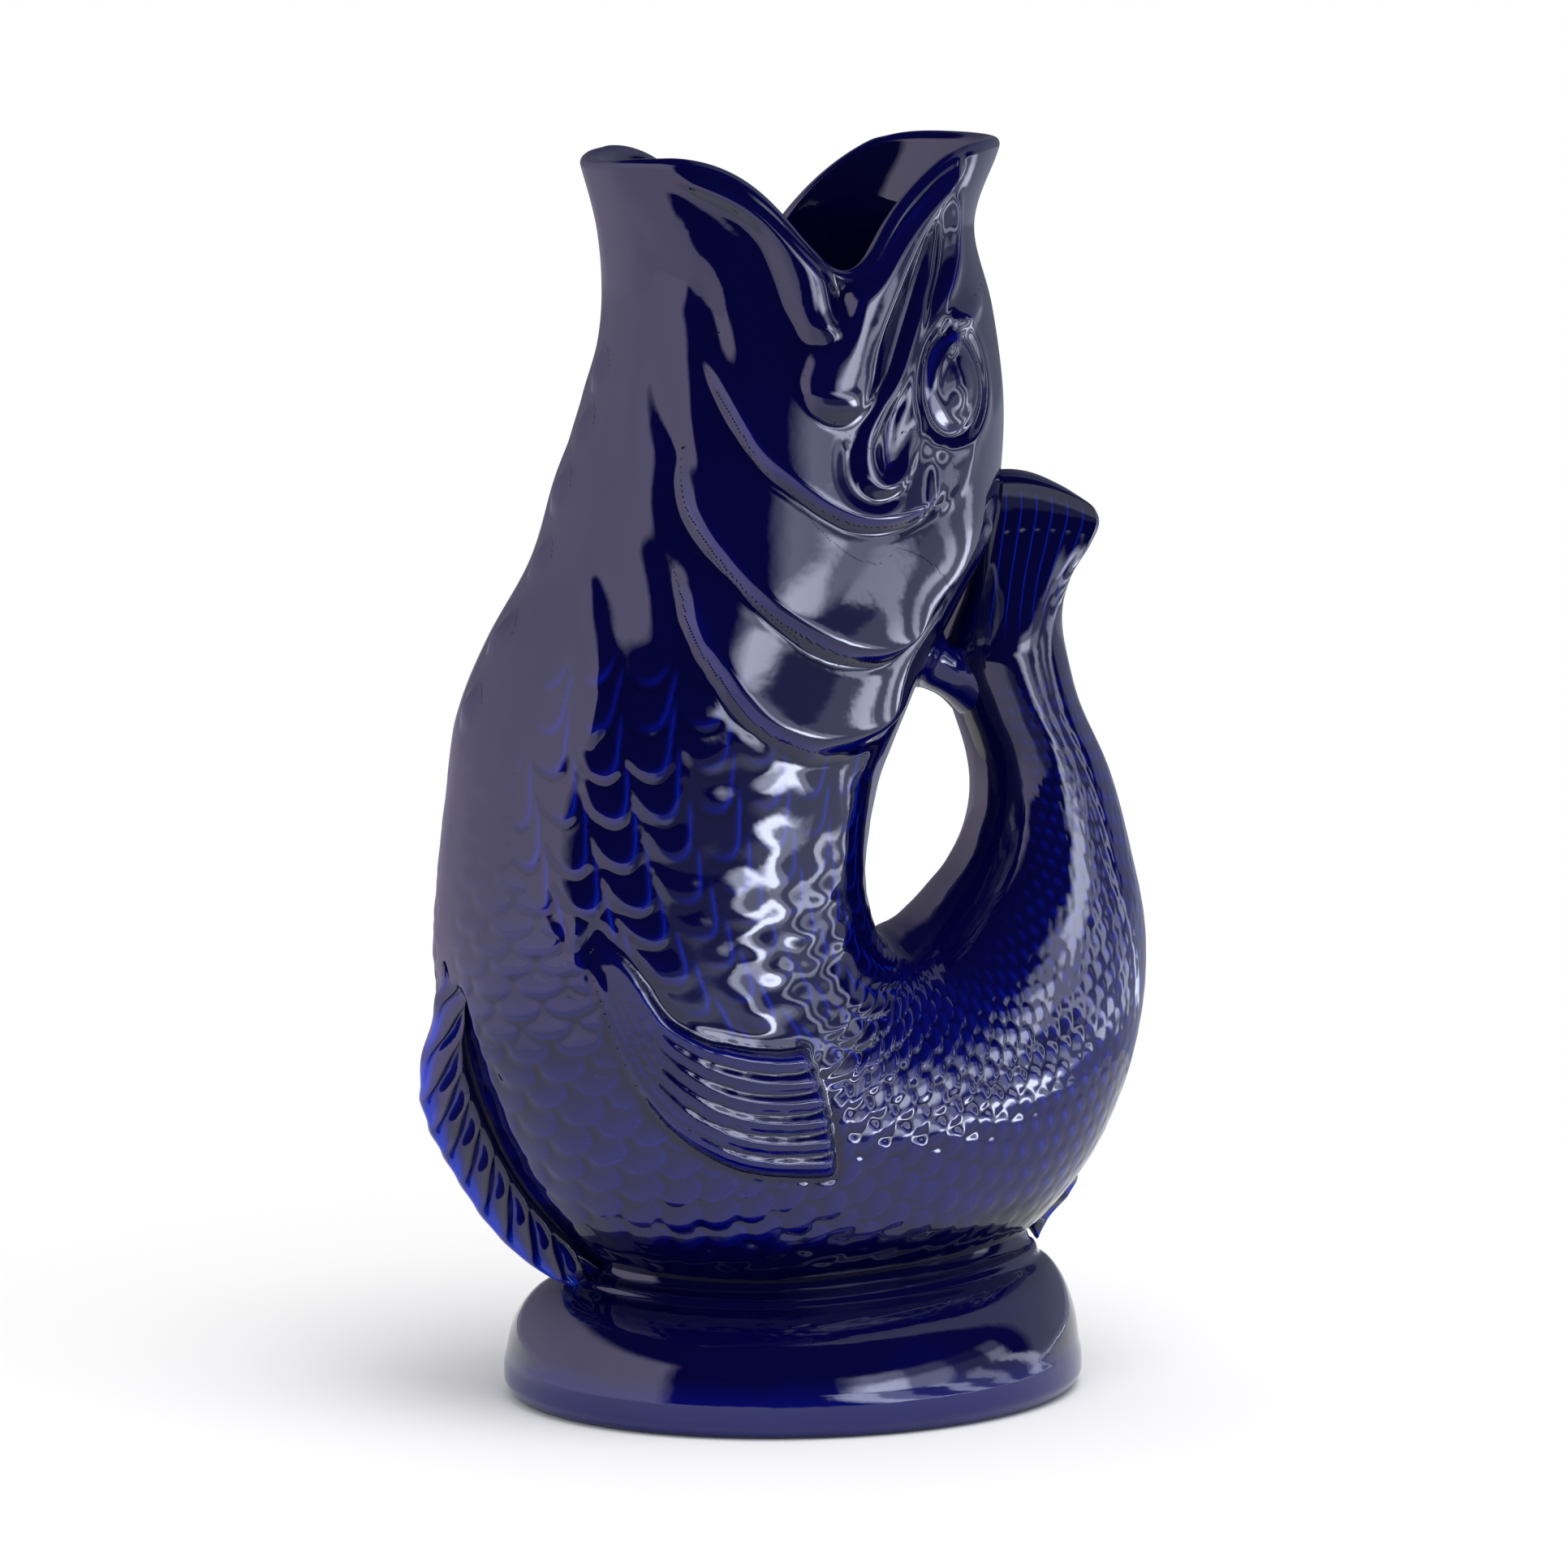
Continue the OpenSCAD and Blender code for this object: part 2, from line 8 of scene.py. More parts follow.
import bmesh
import bpy
import numpy as np
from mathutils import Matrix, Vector


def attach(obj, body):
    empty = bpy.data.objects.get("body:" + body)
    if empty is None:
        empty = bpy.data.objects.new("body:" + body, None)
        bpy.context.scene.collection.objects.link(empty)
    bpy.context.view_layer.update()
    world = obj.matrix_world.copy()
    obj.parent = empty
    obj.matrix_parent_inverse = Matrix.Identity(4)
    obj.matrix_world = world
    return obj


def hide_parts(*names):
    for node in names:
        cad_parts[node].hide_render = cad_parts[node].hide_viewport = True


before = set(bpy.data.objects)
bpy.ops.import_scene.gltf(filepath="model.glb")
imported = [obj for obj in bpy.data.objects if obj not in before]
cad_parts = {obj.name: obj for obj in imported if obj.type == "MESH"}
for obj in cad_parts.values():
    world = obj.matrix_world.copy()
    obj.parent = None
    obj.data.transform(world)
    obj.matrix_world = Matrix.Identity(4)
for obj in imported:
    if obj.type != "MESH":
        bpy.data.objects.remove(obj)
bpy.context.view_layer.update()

# Sizes of the jug, the same as in the part's source
MM = 0.001
JUG_H, JUG_L, JUG_W = 244.0, 145.0, 80.0
WALL = 4.0
NOTCH_DEPTH, UPPER_RISE, SIDE_RISE = 20.5, 3.0, 1.5
FOOT_L, FOOT_W, FOOT_EDGE_H, FOOT_FLOOR = 116.0, 102.0, 9.0, 5.0
CORNER_A, LOWER_SPREAD, UPPER_SPREAD, POUR_SPREAD, LOWER_POWER = 88.0, 23.2, 24.2, 28.0, 1.85
JOINT_T, JOINT_HALF_T, JOINT_HALF_A, JOINT_IN_SHARE = 14.58, 1.72, 47.0, 0.82
HEAD_END, BODY_END = 8.0, 18.0

# Rows of the fish: belly line x and height, back line x and height, half width, as shares
STATION_SHARES = [
    [-0.297, 1.000, 0.283, 1.000, 0.725], [-0.269, 0.939, 0.248, 0.943, 0.738],
    [-0.264, 0.874, 0.273, 0.878, 0.775], [-0.285, 0.809, 0.288, 0.809, 0.850],
    [-0.328, 0.744, 0.285, 0.748, 0.900], [-0.362, 0.679, 0.269, 0.695, 0.950],
    [-0.425, 0.614, 0.219, 0.638, 0.975], [-0.467, 0.553, 0.160, 0.577, 0.988],
    [-0.482, 0.488, 0.114, 0.516, 0.988], [-0.494, 0.423, 0.092, 0.463, 0.988],
    [-0.497, 0.358, 0.086, 0.423, 1.000], [-0.476, 0.280, 0.094, 0.394, 1.000],
    [-0.400, 0.183, 0.104, 0.376, 1.000], [-0.265, 0.103, 0.116, 0.370, 0.950],
    [-0.083, 0.060, 0.132, 0.370, 0.900], [0.131, 0.064, 0.147, 0.374, 0.850],
    [0.289, 0.104, 0.166, 0.380, 0.775], [0.394, 0.158, 0.185, 0.390, 0.713],
    [0.458, 0.220, 0.207, 0.404, 0.650], [0.495, 0.291, 0.234, 0.423, 0.575],
    [0.502, 0.362, 0.255, 0.447, 0.513], [0.480, 0.431, 0.265, 0.476, 0.450],
    [0.450, 0.496, 0.259, 0.508, 0.400], [0.407, 0.553, 0.238, 0.545, 0.363],
    [0.384, 0.606, 0.209, 0.589, 0.325],
]
ROWS = np.array(STATION_SHARES) * [JUG_L, JUG_H, JUG_L, JUG_H, JUG_W / 2]
ROWS = np.vstack([2 * ROWS[0] - ROWS[1], ROWS, 2 * ROWS[-1] - ROWS[-2]])
TAIL_END = len(STATION_SHARES) - 1
FIRST_GAP = (STATION_SHARES[0][1] - STATION_SHARES[1][1]) * JUG_H


def cubic(a, b, c, d, u):
    """The smooth curve through four values, between the middle two."""
    return b + u * ((c - a) / 2 + u * ((2 * a - 5 * b + 4 * c - d) / 2 + u * (3 * b - a - 3 * c + d) / 2))


def station(t):
    """One row for each station t: belly line x and height, back line x and height, half width."""
    t = np.asarray(t, float)
    i = np.clip(np.floor(t), 0, TAIL_END - 1).astype(int)
    u = (t - i)[..., None]
    return cubic(ROWS[i], ROWS[i + 1], ROWS[i + 2], ROWS[i + 3], u)


def skin(t, a, inset=0.0):
    """Points of the smooth fish at stations t and angles a in degrees, set in by inset."""
    s = station(t)
    mid_x, mid_z = (s[..., 0] + s[..., 2]) / 2, (s[..., 1] + s[..., 3]) / 2
    half_x, half_z = (s[..., 2] - s[..., 0]) / 2, (s[..., 3] - s[..., 1]) / 2
    length = np.hypot(half_x, half_z)
    k = (length - inset) / length
    c, w = np.cos(np.radians(a)), np.sin(np.radians(a))
    return np.stack([mid_x + half_x * k * c, (s[..., 4] - inset) * w, mid_z + half_z * k * c], -1)


def unit(v):
    """The same directions, each with a length of one."""
    return v / np.maximum(np.linalg.norm(v, axis=-1, keepdims=True), 1e-9)


# Half the distance over which a slope is taken, in stations and in degrees
STEP = 0.02


def skin_normal(t, a):
    """The direction straight out of the smooth fish."""
    along = skin(t + STEP, a) - skin(t - STEP, a)
    around = skin(t, a + STEP) - skin(t, a - STEP)
    return unit(np.cross(along, around))


def on_skin(t, a, lift=0.0):
    """Points at a height above the smooth fish, or below it where lift is negative."""
    t, a = np.broadcast_arrays(np.asarray(t, float), np.asarray(a, float))
    return skin(t, a) + lift * skin_normal(t, a)


def clamp(x):
    return np.clip(x, 0, 1)


def smooth(x, lo, hi):
    """0 below lo, 1 above hi, with a soft step between them."""
    k = clamp((x - lo) / (hi - lo))
    return k * k * (3 - 2 * k)


def fall(x, lo, hi):
    """1 below lo, 0 above hi, with a soft step between them."""
    return 1 - smooth(x, lo, hi)


def bell(x, middle, width):
    """A bell curve that is 1 at its middle."""
    return np.exp(-((x - middle) / width) ** 2)


def trace(points, n):
    """n points on a smooth curve through the points given."""
    p = np.array(points, float)
    p = np.vstack([2 * p[0] - p[1], p, 2 * p[-1] - p[-2]])
    k = np.linspace(0, len(p) - 3, n)
    i = np.minimum(k.astype(int), len(p) - 4)
    u = (k - i)[:, None]
    return cubic(p[i], p[i + 1], p[i + 2], p[i + 3], u)


def fold(a):
    """The angle from the back line, the same on both sides."""
    a = np.mod(a, 360)
    return np.where(a <= 180, a, 360 - a)


def rim_drop(a):
    """How far the rim of the mouth lies below the lower lip at each angle."""
    b = fold(a)
    rise = np.where(b < CORNER_A, UPPER_RISE, SIDE_RISE * (1 - bell(b, 180, POUR_SPREAD)))
    low = np.exp(-(np.abs(b - CORNER_A) / LOWER_SPREAD) ** LOWER_POWER)
    high = bell(b, CORNER_A, UPPER_SPREAD)
    return np.where(b < CORNER_A, high, low) * (NOTCH_DEPTH + rise) - rise


# The one grid that every piece of the skin is cut from: its stations T, angles A, angles from the back
# line B, points P0, normals N0, and the rows where body, tail and fan begin
COLS = 520
HEAD_ROWS, BODY_ROWS, TAIL_ROWS, FAN_ROWS = 250, 310, 145, 100
angles = np.arange(COLS) * 360 / COLS
rim_start = rim_drop(angles) / FIRST_GAP + WALL / 2 / FIRST_GAP
head_k = np.linspace(0, 1, HEAD_ROWS + 1)[:, None]
t_head = rim_start[None, :] * (1 - head_k) + HEAD_END * head_k
t_body = np.repeat(np.linspace(HEAD_END, BODY_END, BODY_ROWS + 1)[1:, None], COLS, 1)
t_tail = np.repeat(np.linspace(BODY_END, TAIL_END, TAIL_ROWS + 1)[1:, None], COLS, 1)
T = np.vstack([t_head, t_body, t_tail])
A = np.broadcast_to(angles, T.shape)
B = fold(A)
P0 = skin(T, A)
N0 = skin_normal(T, A)
R_BODY, R_TAIL, R_FAN = HEAD_ROWS, HEAD_ROWS + BODY_ROWS, HEAD_ROWS + BODY_ROWS + TAIL_ROWS


class Path:
    """A curve on the fish through places [station, angle], which stands for both sides of it."""

    def __init__(self, places, n=140):
        t, a = trace(places, n).T
        self.p = skin(t, a)
        self.d = unit(np.gradient(self.p, axis=0))
        self.side = unit(np.cross(self.d, skin_normal(t, a)))


# The grid's points with both sides laid on one, where the paths are
FOLDED = np.stack([P0[..., 0], np.abs(P0[..., 1]), P0[..., 2]], -1)


def near(path, reach):
    """Grid places within reach of the path: mask, distance, share along it, side and how far past it."""
    lo, hi = path.p.min(0) - reach, path.p.max(0) + reach
    mask = np.all((FOLDED > lo) & (FOLDED < hi), -1)
    q = FOLDED[mask]
    best = np.full(len(q), 1e9)
    index = np.zeros(len(q), int)
    for i, p in enumerate(path.p):
        d = ((q - p) ** 2).sum(1)
        closer = d < best
        best[closer] = d[closer]
        index[closer] = i
    gap = q - path.p[index]
    side = (gap * path.side[index]).sum(1)
    over = (gap * path.d[index]).sum(1)
    return mask, np.sqrt(best), index / (len(path.p) - 1), side, over


def blur(x, rows, cols):
    """A soft average over a window of the grid; it wraps round the fish."""
    out = x
    for _ in range(2):
        pad = np.pad(out, ((rows, rows), (0, 0)), "edge")
        total = np.cumsum(np.vstack([np.zeros((1, out.shape[1])), pad]), 0)
        out = (total[2 * rows + 1:] - total[:-2 * rows - 1]) / (2 * rows + 1)
        wrap = np.hstack([out[:, -cols:], out, out[:, :cols]])
        total = np.cumsum(np.hstack([np.zeros((out.shape[0], 1)), wrap]), 1)
        out = (total[:, 2 * cols + 1:] - total[:, :-2 * cols - 1]) / (2 * cols + 1)
    return out


def bump(x):
    """A soft mound: 1 in the middle, 0 at 1."""
    return clamp(1 - x * x) ** 2


# On the grid: height of the relief, how much thinner its glaze lies with some painted shade and highlight
# in it, and the piece of each place
D = np.zeros(T.shape)
glow = np.zeros(T.shape)
label = np.zeros(T.shape, int)
PIECES = ["head", "cheek_plate", "gill_cover", "shoulder_plate", "lower_lip", "upper_lip", "eye", "brow",
          "belly_scutes", "tail_keel", "side_fin"]
HEAD_SKIN = T < HEAD_END + 0.4


def mark(mask, name):
    """Gives these places to a piece."""
    label[mask] = PIECES.index(name)


def ridge(places, widths, height, shape=bump, name=None, ends=0.12, shine=0.0):
    """A raised line or a groove, with half widths along it and soft ends that are shares of its length."""
    widths = np.array(widths, float)
    mask, dist, k, _, _ = near(Path(places), widths.max() * 1.2)
    w = np.interp(k, np.linspace(0, 1, len(widths)), widths)
    x = dist / np.maximum(w, 0.1)
    first, final = np.broadcast_to(ends, 2)
    taper = smooth(k, -0.001, first) if first else 1.0
    taper = taper * (smooth(1 - k, -0.001, final) if final else 1.0)
    D[mask] += height * shape(clamp(x)) * taper
    glow[mask] += shine * bell(x, 0, 0.45) * taper
    if name:
        inside = np.zeros(T.shape, bool)
        inside[mask] = x < 0.98
        mark(inside & HEAD_SKIN, name)


def lobe(x):
    """A broad round cross-section with a crisp foot."""
    return (1 - clamp(np.abs(x)) ** 2.6) ** 0.62


# Head plates: how the edge dies out, the crease under it and the light line along it
PLATE_FINAL, PLATE_OVER, PLATE_SOFT = 0.08, 3, 8
CREASE_DEPTH, CREASE_W, CREASE_REACH = 0.8, 0.9, 4
LINE_GLOW, LINE_IN, LINE_W = 0.24, 0.9, 1.1


def plate(edge, depth, height, name, radius=2.3, first=0.14):
    """A head plate that rises like a shingle to its rolled free edge, with a crease under it."""
    mask, dist, k, side, over = near(Path(edge, 240), depth)
    s = np.sign(side) * dist
    ends = smooth(k, 0.0, first) * smooth(1 - k, 0.0, PLATE_FINAL)
    rounded = np.sqrt(1 - (1 - clamp(s / radius)) ** 2)
    # soft where the edge curls and one stretch of it takes over from another
    beside = np.abs(over) < PLATE_OVER
    shape_grid, ends_grid = np.zeros(T.shape), np.zeros(T.shape)
    shape_grid[mask] = np.where(beside, (1 - (np.clip(s, 0, depth) / depth) ** 1.15) * ends, 0)
    ends_grid[mask] = np.where(beside, ends, 0)
    soft_ends = blur(ends_grid, PLATE_SOFT, PLATE_SOFT)[mask]
    lift = height * rounded * blur(shape_grid, PLATE_SOFT, PLATE_SOFT)[mask]
    old = D[mask]
    keep = s > 0
    below = -CREASE_DEPTH * bell(np.minimum(s, 0), 0, CREASE_W) * ends
    upper = lift + old * np.maximum(smooth(s, 0.6 * depth, depth), 1 - soft_ends)
    D[mask] = np.where(keep, upper, np.where(s > -CREASE_REACH, old + below, old))
    glow[mask] = np.where(keep, glow[mask] * smooth(s, 0.6 * depth, depth), glow[mask])
    glow[mask] += LINE_GLOW * bell(s, LINE_IN, LINE_W) * ends * beside
    inside = np.zeros(T.shape, bool)
    inside[mask] = keep & (s < depth * 0.92) & (lift > 0.12)
    mark(inside & HEAD_SKIN, name)


# A scale's length in rows, how square its outline is, and the size of the tables of chance
SCALE_LENGTH, SCALE_POWER, NOISE_SIZE = 0.9, 2.3, 128


class Scales:
    """Rows of overlapping scales whose free edges point to the tail.

    rows and columns are stations and counts, in a station and half the way round. shift moves each row,
    lean and slant set a scale askew, and wild makes the scales uneven.
    """

    def __init__(self, rows, columns, shift, lean, slant, width, wild, seed):
        t_fine = np.linspace(0, TAIL_END, 960)
        phase = np.cumsum(np.interp(t_fine, *rows)) * (t_fine[1] - t_fine[0])
        self.u = np.interp(T, t_fine, phase)
        self.v = (B - 90) / 180 * np.interp(T, *columns)
        self.shift, self.lean, self.slant, self.wild = shift, lean, slant, wild
        self.noise = np.random.default_rng(seed).uniform(-0.5, 0.5, (3, NOISE_SIZE, NOISE_SIZE))
        first = np.ceil(self.u - 1).astype(int) - 1
        found = np.zeros(T.shape, bool)
        self.rise, self.rear, self.edge = np.ones(T.shape), np.zeros(T.shape), np.zeros(T.shape)
        self.tilt, self.gap = np.ones(T.shape), np.zeros(T.shape)
        for row in (first, first + 1, first + 2, first + 3):
            rise, across, outline, tilt = self.place(row)
            here = ~found & (outline < 1) & (rise > 0)
            beside = ~found & ~here & (rise > -0.1)
            near_edge = bell(np.maximum(outline - 1, 0) * width / 2, 0, 0.6)
            self.gap = np.where(beside, np.maximum(self.gap, near_edge), self.gap)
            self.rise, self.rear = np.where(here, rise, self.rise), np.where(here, -across, self.rear)
            self.edge = np.where(here, (1 - outline) * width / 2, self.edge)
            self.tilt = np.where(here, tilt, self.tilt)
            found |= here

    def place(self, row):
        """Rise above the free edge in rows, place across, outline value and tilt of a row's scale."""
        start = np.mod(-self.shift * row, 1.0)
        v = self.v - start + self.lean * (1 - (row + 1 - self.u))
        column = np.round(v).astype(int)
        pick = (row % NOISE_SIZE, column % NOISE_SIZE)
        across = v - column + 0.4 * self.wild * self.noise[1][pick]
        rise = row + 1 - self.u - self.slant * across + self.wild * self.noise[0][pick]
        above = np.clip(1 - rise / SCALE_LENGTH, 0, None)
        outline = (above ** SCALE_POWER + (np.abs(across) / 0.5) ** SCALE_POWER) ** (1 / SCALE_POWER)
        return rise, across, outline, 1 + 0.5 * self.noise[2][pick]

    def height(self, radius, slope):
        """Height of the scales for a full height of 1, with edges rounded to a radius."""
        rounded = np.sqrt(1 - (1 - clamp(self.edge / radius)) ** 2)
        return rounded * np.clip(1 - slope * self.rise * self.tilt, 0.05, 1) - 0.25 * self.gap

    def rim(self, width):
        """The thin glaze along the free edge, strongest on its rear side."""
        return bell(self.edge, 0.8, width) * np.clip(0.35 + 1.5 * self.rear, 0.05, 1)


flank_scales = Scales(rows=([0, 9, 11, 12, 14, 24], [1.7, 1.75, 1.9, 2.3, 3.0, 3.0]),
                      columns=([0, 9, 12, 14], [13.2, 13.2, 15, 18]),
                      shift=0.34, lean=0.15, slant=0.55, width=9.5, wild=0.16, seed=7)
belly_scales = Scales(rows=([0, 9, 10, 11, 12, 13, 14, 15, 18, 24],
                            [3.2, 3.5, 4.0, 4.6, 4.9, 4.7, 4.2, 3.8, 3.4, 3.4]),
                      columns=([0, 10, 12, 13, 14, 15, 18, 24], [11, 11, 12.5, 15, 18, 20, 22, 20]),
                      shift=0.5, lean=0.0, slant=0.0, width=7.4, wild=0.14, seed=11)

# The line where the belly's even scales take over from the flank's
divide = np.interp(T, [8.5, 9.6, 10.3, 11.0, 11.6, 12.0, 12.5, 13.2, 13.8],
                   [150, 129, 121.5, 119, 116, 110, 100, 60, 0])
on_belly = smooth(B, divide - 1, divide + 1)

# How high the scales stand: back_h above a line down the flank, front_h below it
flank_line = np.interp(T, [8, 11, 12, 13, 17], [138, 120, 102, 92, 88])
front_h = np.interp(T, [5, 7, 9, 10, 12.5, 14.5, 16.3, 17.3, 19, 21.5, 22.5, 24],
                    [0.36, 0.4, 0.42, 0.42, 0.4, 0.28, 0.25, 0.24, 0.14, 0.09, 0.06, 0.0])
back_h = np.interp(T, [5.5, 8.5, 9.5, 11, 12.5, 15, 16.5, 17.5, 19, 24],
                   [0.34, 0.44, 0.8, 1.15, 0.9, 0.6, 0.5, 0.2, 0.08, 0.0])
low_mix = smooth(B, flank_line - 6, flank_line + 6)
scale_h = back_h * (1 - low_mix) + front_h * low_mix
scale_h *= 1 - 0.4 * smooth(T, 7.5, 8.5) * fall(T, 11.5, 13) * fall(B, 92, 108)

# The scales fade out under the head plates, on the throat, along the belly line and on the back
upper_edge = np.interp(B, [0, 40, 60, 75, 89, 99, 112, 125, 140, 160, 180],
                       [6.6, 7.0, 7.4, 7.35, 7.05, 6.7, 6.15, 6.0, 5.9, 6.3, 6.8])
fade = smooth(T, upper_edge - 0.15, upper_edge + 0.3)
fade *= 1 - np.interp(T, [8.5, 10], [0.8, 0.25]) * smooth(B, 142, 160)
fade *= 1 - smooth(B, 166, 178) * (T < 17.4)
inner = np.interp(T, [7, 11, 12.5, 14, 17, 24], [-30, -30, 0, 22, 40, 40])
fade *= smooth(B, inner, inner + 25)
belly_h = 0.75 * np.interp(T, [8, 10, 13, 14.5, 24], [0.6, 1, 1, 1, 1])
D += fade * ((1 - on_belly) * scale_h * flank_scales.height(1.2, 0.85)
             + on_belly * np.where(T < 14, belly_h, scale_h) * belly_scales.height(1.2, 0.5))

# Thin glaze on the scales: the flank's rims, then the belly's ends, rims and middles. Under each flank
# scale's edge the glaze is set darker, partly glaze pooling in the groove and partly painted shade
glow += fade * (1 - on_belly) * (0.42 * flank_scales.rim(0.55) - 0.25 * flank_scales.gap)
inside_cell = smooth(belly_scales.edge, 0.25, 0.9)
cell_ends = bell(np.abs(belly_scales.rear), 0.4, 0.07)
cell_share = np.interp(T, [9, 10.5, 11.5, 15, 17, 18, 24], [0.04, 0.05, 0.07, 0.07, 0.05, 0.03, 0.03])
glow += fade * on_belly * cell_share * inside_cell * (1 + 1.8 * cell_ends)
cell_rim = bell(belly_scales.edge, 0.75, 0.35) * smooth(0.75 - belly_scales.rise, 0, 0.3)
glow += fade * on_belly * cell_rim * np.interp(T, [9, 10.5, 15, 17, 24], [0.1, 0.2, 0.2, 0.05, 0])
dots = bell(belly_scales.rise, 0.45, 0.3) * smooth(belly_scales.edge, 0.8, 2.2)
glow += fade * on_belly * dots * np.interp(T, [9, 12, 15, 17, 24], [0.05, 0.09, 0.15, 0.32, 0.32])

# A hand-made surface is never quite even, least of all high on the flank
WOBBLE, FLANK_WOBBLE, WOBBLE_SIZE = 0.018, 0.11, 6
wobble = blur(np.random.default_rng(3).standard_normal(T.shape), WOBBLE_SIZE, WOBBLE_SIZE)
flank_share = smooth(T, 6.9, 7.6) * fall(T, 11.5, 13) * fall(B, 97, 109)
D += wobble / wobble.std() * (WOBBLE + FLANK_WOBBLE * flank_share)

# Long soft folds down the throat: crests and the hollows between them
ridge([[0.2, 156], [0.74, 143], [1.35, 132], [1.85, 125.5], [2.37, 121.5], [2.95, 119.5]],
      [4, 8, 8.5, 7, 5, 2.5], 0.9, ends=0.25)
ridge([[1.2, 134], [1.71, 132], [2.09, 129.5], [2.52, 125], [2.85, 121.5]],
      [2, 4, 4.5, 3.5, 2], -0.55, ends=0.2)
ridge([[1.2, 149], [1.71, 144.5], [2.1, 141.5], [2.54, 139], [3.12, 134.5], [3.85, 127.8]],
      [4, 7, 8, 7, 5, 2.5], 0.9, ends=0.25)
ridge([[2.4, 151], [2.85, 148], [3.15, 143], [3.51, 136], [3.85, 129.5]],
      [2, 4, 4.5, 3.5, 2], -0.55, ends=0.2)
ridge([[2.2, 160], [2.85, 156], [3.25, 152], [3.65, 146], [4.22, 139], [4.75, 133]],
      [4, 7, 8, 8, 6, 3], 0.9, ends=0.25)
ridge([[4.0, 149], [4.71, 142], [5.22, 133], [5.72, 123], [6.17, 114.5]], [4, 5, 6, 6, 4], 0.6, ends=0.25)
ridge([[5.0, 154], [5.61, 143.5], [6.21, 135], [6.69, 131.5], [7.15, 130.5]],
      [1.2, 3.2, 4.0, 3.0, 1.0], 1.0, ends=0.05)

# Head plates, the lowest first
SHOULDER_EDGE = [[4.9, 130], [5.3, 124], [5.76, 116.5], [6.3, 105.5], [6.7, 97.5], [7.08, 88],
                 [7.32, 78.5], [7.46, 69.5], [7.48, 58.5], [7.42, 46.5], [7.22, 38], [6.95, 33.5]]
GILL_EDGE = [[3.5, 136], [3.9, 132.5], [4.26, 128.5], [4.78, 119.5], [5.26, 108.5], [5.74, 94], [6.16, 78],
             [6.34, 64], [6.3, 54.5], [6.12, 49], [5.8, 46]]
CHEEK_EDGE = [[2.15, 137], [2.68, 131], [3.24, 121], [3.66, 112.5], [4.0, 102.5], [4.3, 93.5], [4.48, 86],
              [4.54, 78], [4.5, 71], [4.35, 64], [4.1, 59]]
plate(SHOULDER_EDGE, 19, 2.9, "shoulder_plate")
plate(GILL_EDGE, 21, 3.0, "gill_cover", first=0.2)
plate(CHEEK_EDGE, 17, 2.5, "cheek_plate", radius=2.1, first=0.2)

# Lower lip with the grooves beside it, and a lighter blue line along its upper side: a painted highlight
LOWER_LIP = [[-0.02, 140], [0.16, 129], [0.42, 117], [0.72, 109.5], [1.02, 105], [1.38, 102.3],
             [1.74, 101], [2.02, 100]]
ridge([[0.45, 128], [0.74, 116], [1.0, 112], [1.36, 111.2], [1.77, 110.2], [2.12, 107]],
      [1.0, 1.8, 2.2, 2.2, 2.0, 1.2], -0.3)
ridge([[1.3, 92], [1.67, 92.2], [1.98, 93.5], [2.22, 97], [2.3, 103]], [1.2, 2.2, 2.4, 2.2, 1.6], -1.6)
ridge(LOWER_LIP, [2.2, 3.0, 3.6, 4.1, 4.5, 4.7, 4.6, 4.0], 2.3, lobe, "lower_lip", ends=0)
# A painted highlight along the lip's upper side, with no relief of its own
ridge([[0.1, 122], [0.42, 112.5], [0.72, 106.5], [1.02, 102.5], [1.38, 99.5], [1.74, 98.5]],
      [0.4, 0.6, 0.7, 0.7, 0.7, 0.5], 0.0, shine=0.15)

# Upper lip: the groove along the jaw, then the long drop
ridge([[1.5, 89.8], [1.4, 81], [1.05, 72.8], [0.59, 63.2], [0.11, 52.2], [-0.16, 40]],
      [1.0, 1.6, 1.6, 1.4, 1.2, 0.8], -0.8, shine=0.25)
UPPER_LIP = [[0.15, 50.5], [0.6, 59], [1.07, 67.5], [1.47, 76.5], [1.82, 84], [2.15, 89.5],
             [2.48, 93.5], [2.7, 95.5]]
ridge(UPPER_LIP, [1.2, 2.2, 3.2, 4.2, 5.0, 6.0, 7.2, 7.2], 3.0, lobe, "upper_lip", ends=0)

# Folds between the upper lip and the eye
ridge([[0.7, 51], [1.2, 60], [1.71, 69.5], [2.15, 75.5], [2.51, 79.5], [2.9, 83]],
      [1.4, 2.0, 2.2, 2.2, 2.0, 1.4], -1.1, shine=0.1)
ridge([[1.3, 55], [1.8, 65], [2.2, 71], [2.6, 76], [2.99, 82], [3.33, 85.3], [3.72, 84], [3.98, 79.5],
       [3.85, 74.5], [3.4, 72], [2.95, 71]],
      [1.4, 2.0, 2.2, 2.2, 2.2, 2.2, 2.3, 2.2, 2.0, 1.8, 1.2], 1.25, ends=0.1)
ridge([[2.85, 77.5], [3.25, 79.5], [3.55, 79.5], [3.78, 77.8]], [1.2, 2.0, 2.0, 1.4], -1.0, shine=0.35)
ridge([[3.3, 91.5], [3.8, 90], [4.07, 86.2], [4.19, 80.2], [4.05, 75]], [1.6, 2.0, 2.0, 2.0, 1.4], -0.9)
ridge([[0.45, 47], [0.9, 42], [1.3, 44], [1.65, 52], [1.98, 62]],
      [1.4, 2.2, 2.5, 2.4, 1.6], 1.3, shine=0.15)
ridge([[0.6, 52], [1.0, 50], [1.35, 53], [1.68, 60], [1.95, 68]], [1.0, 1.8, 2.0, 1.8, 1.2], -1.0)
ridge([[3.35, 64], [3.75, 63], [4.1, 62], [4.4, 62]], [1.2, 2.2, 2.0, 1.2], -1.0, shine=0.2)

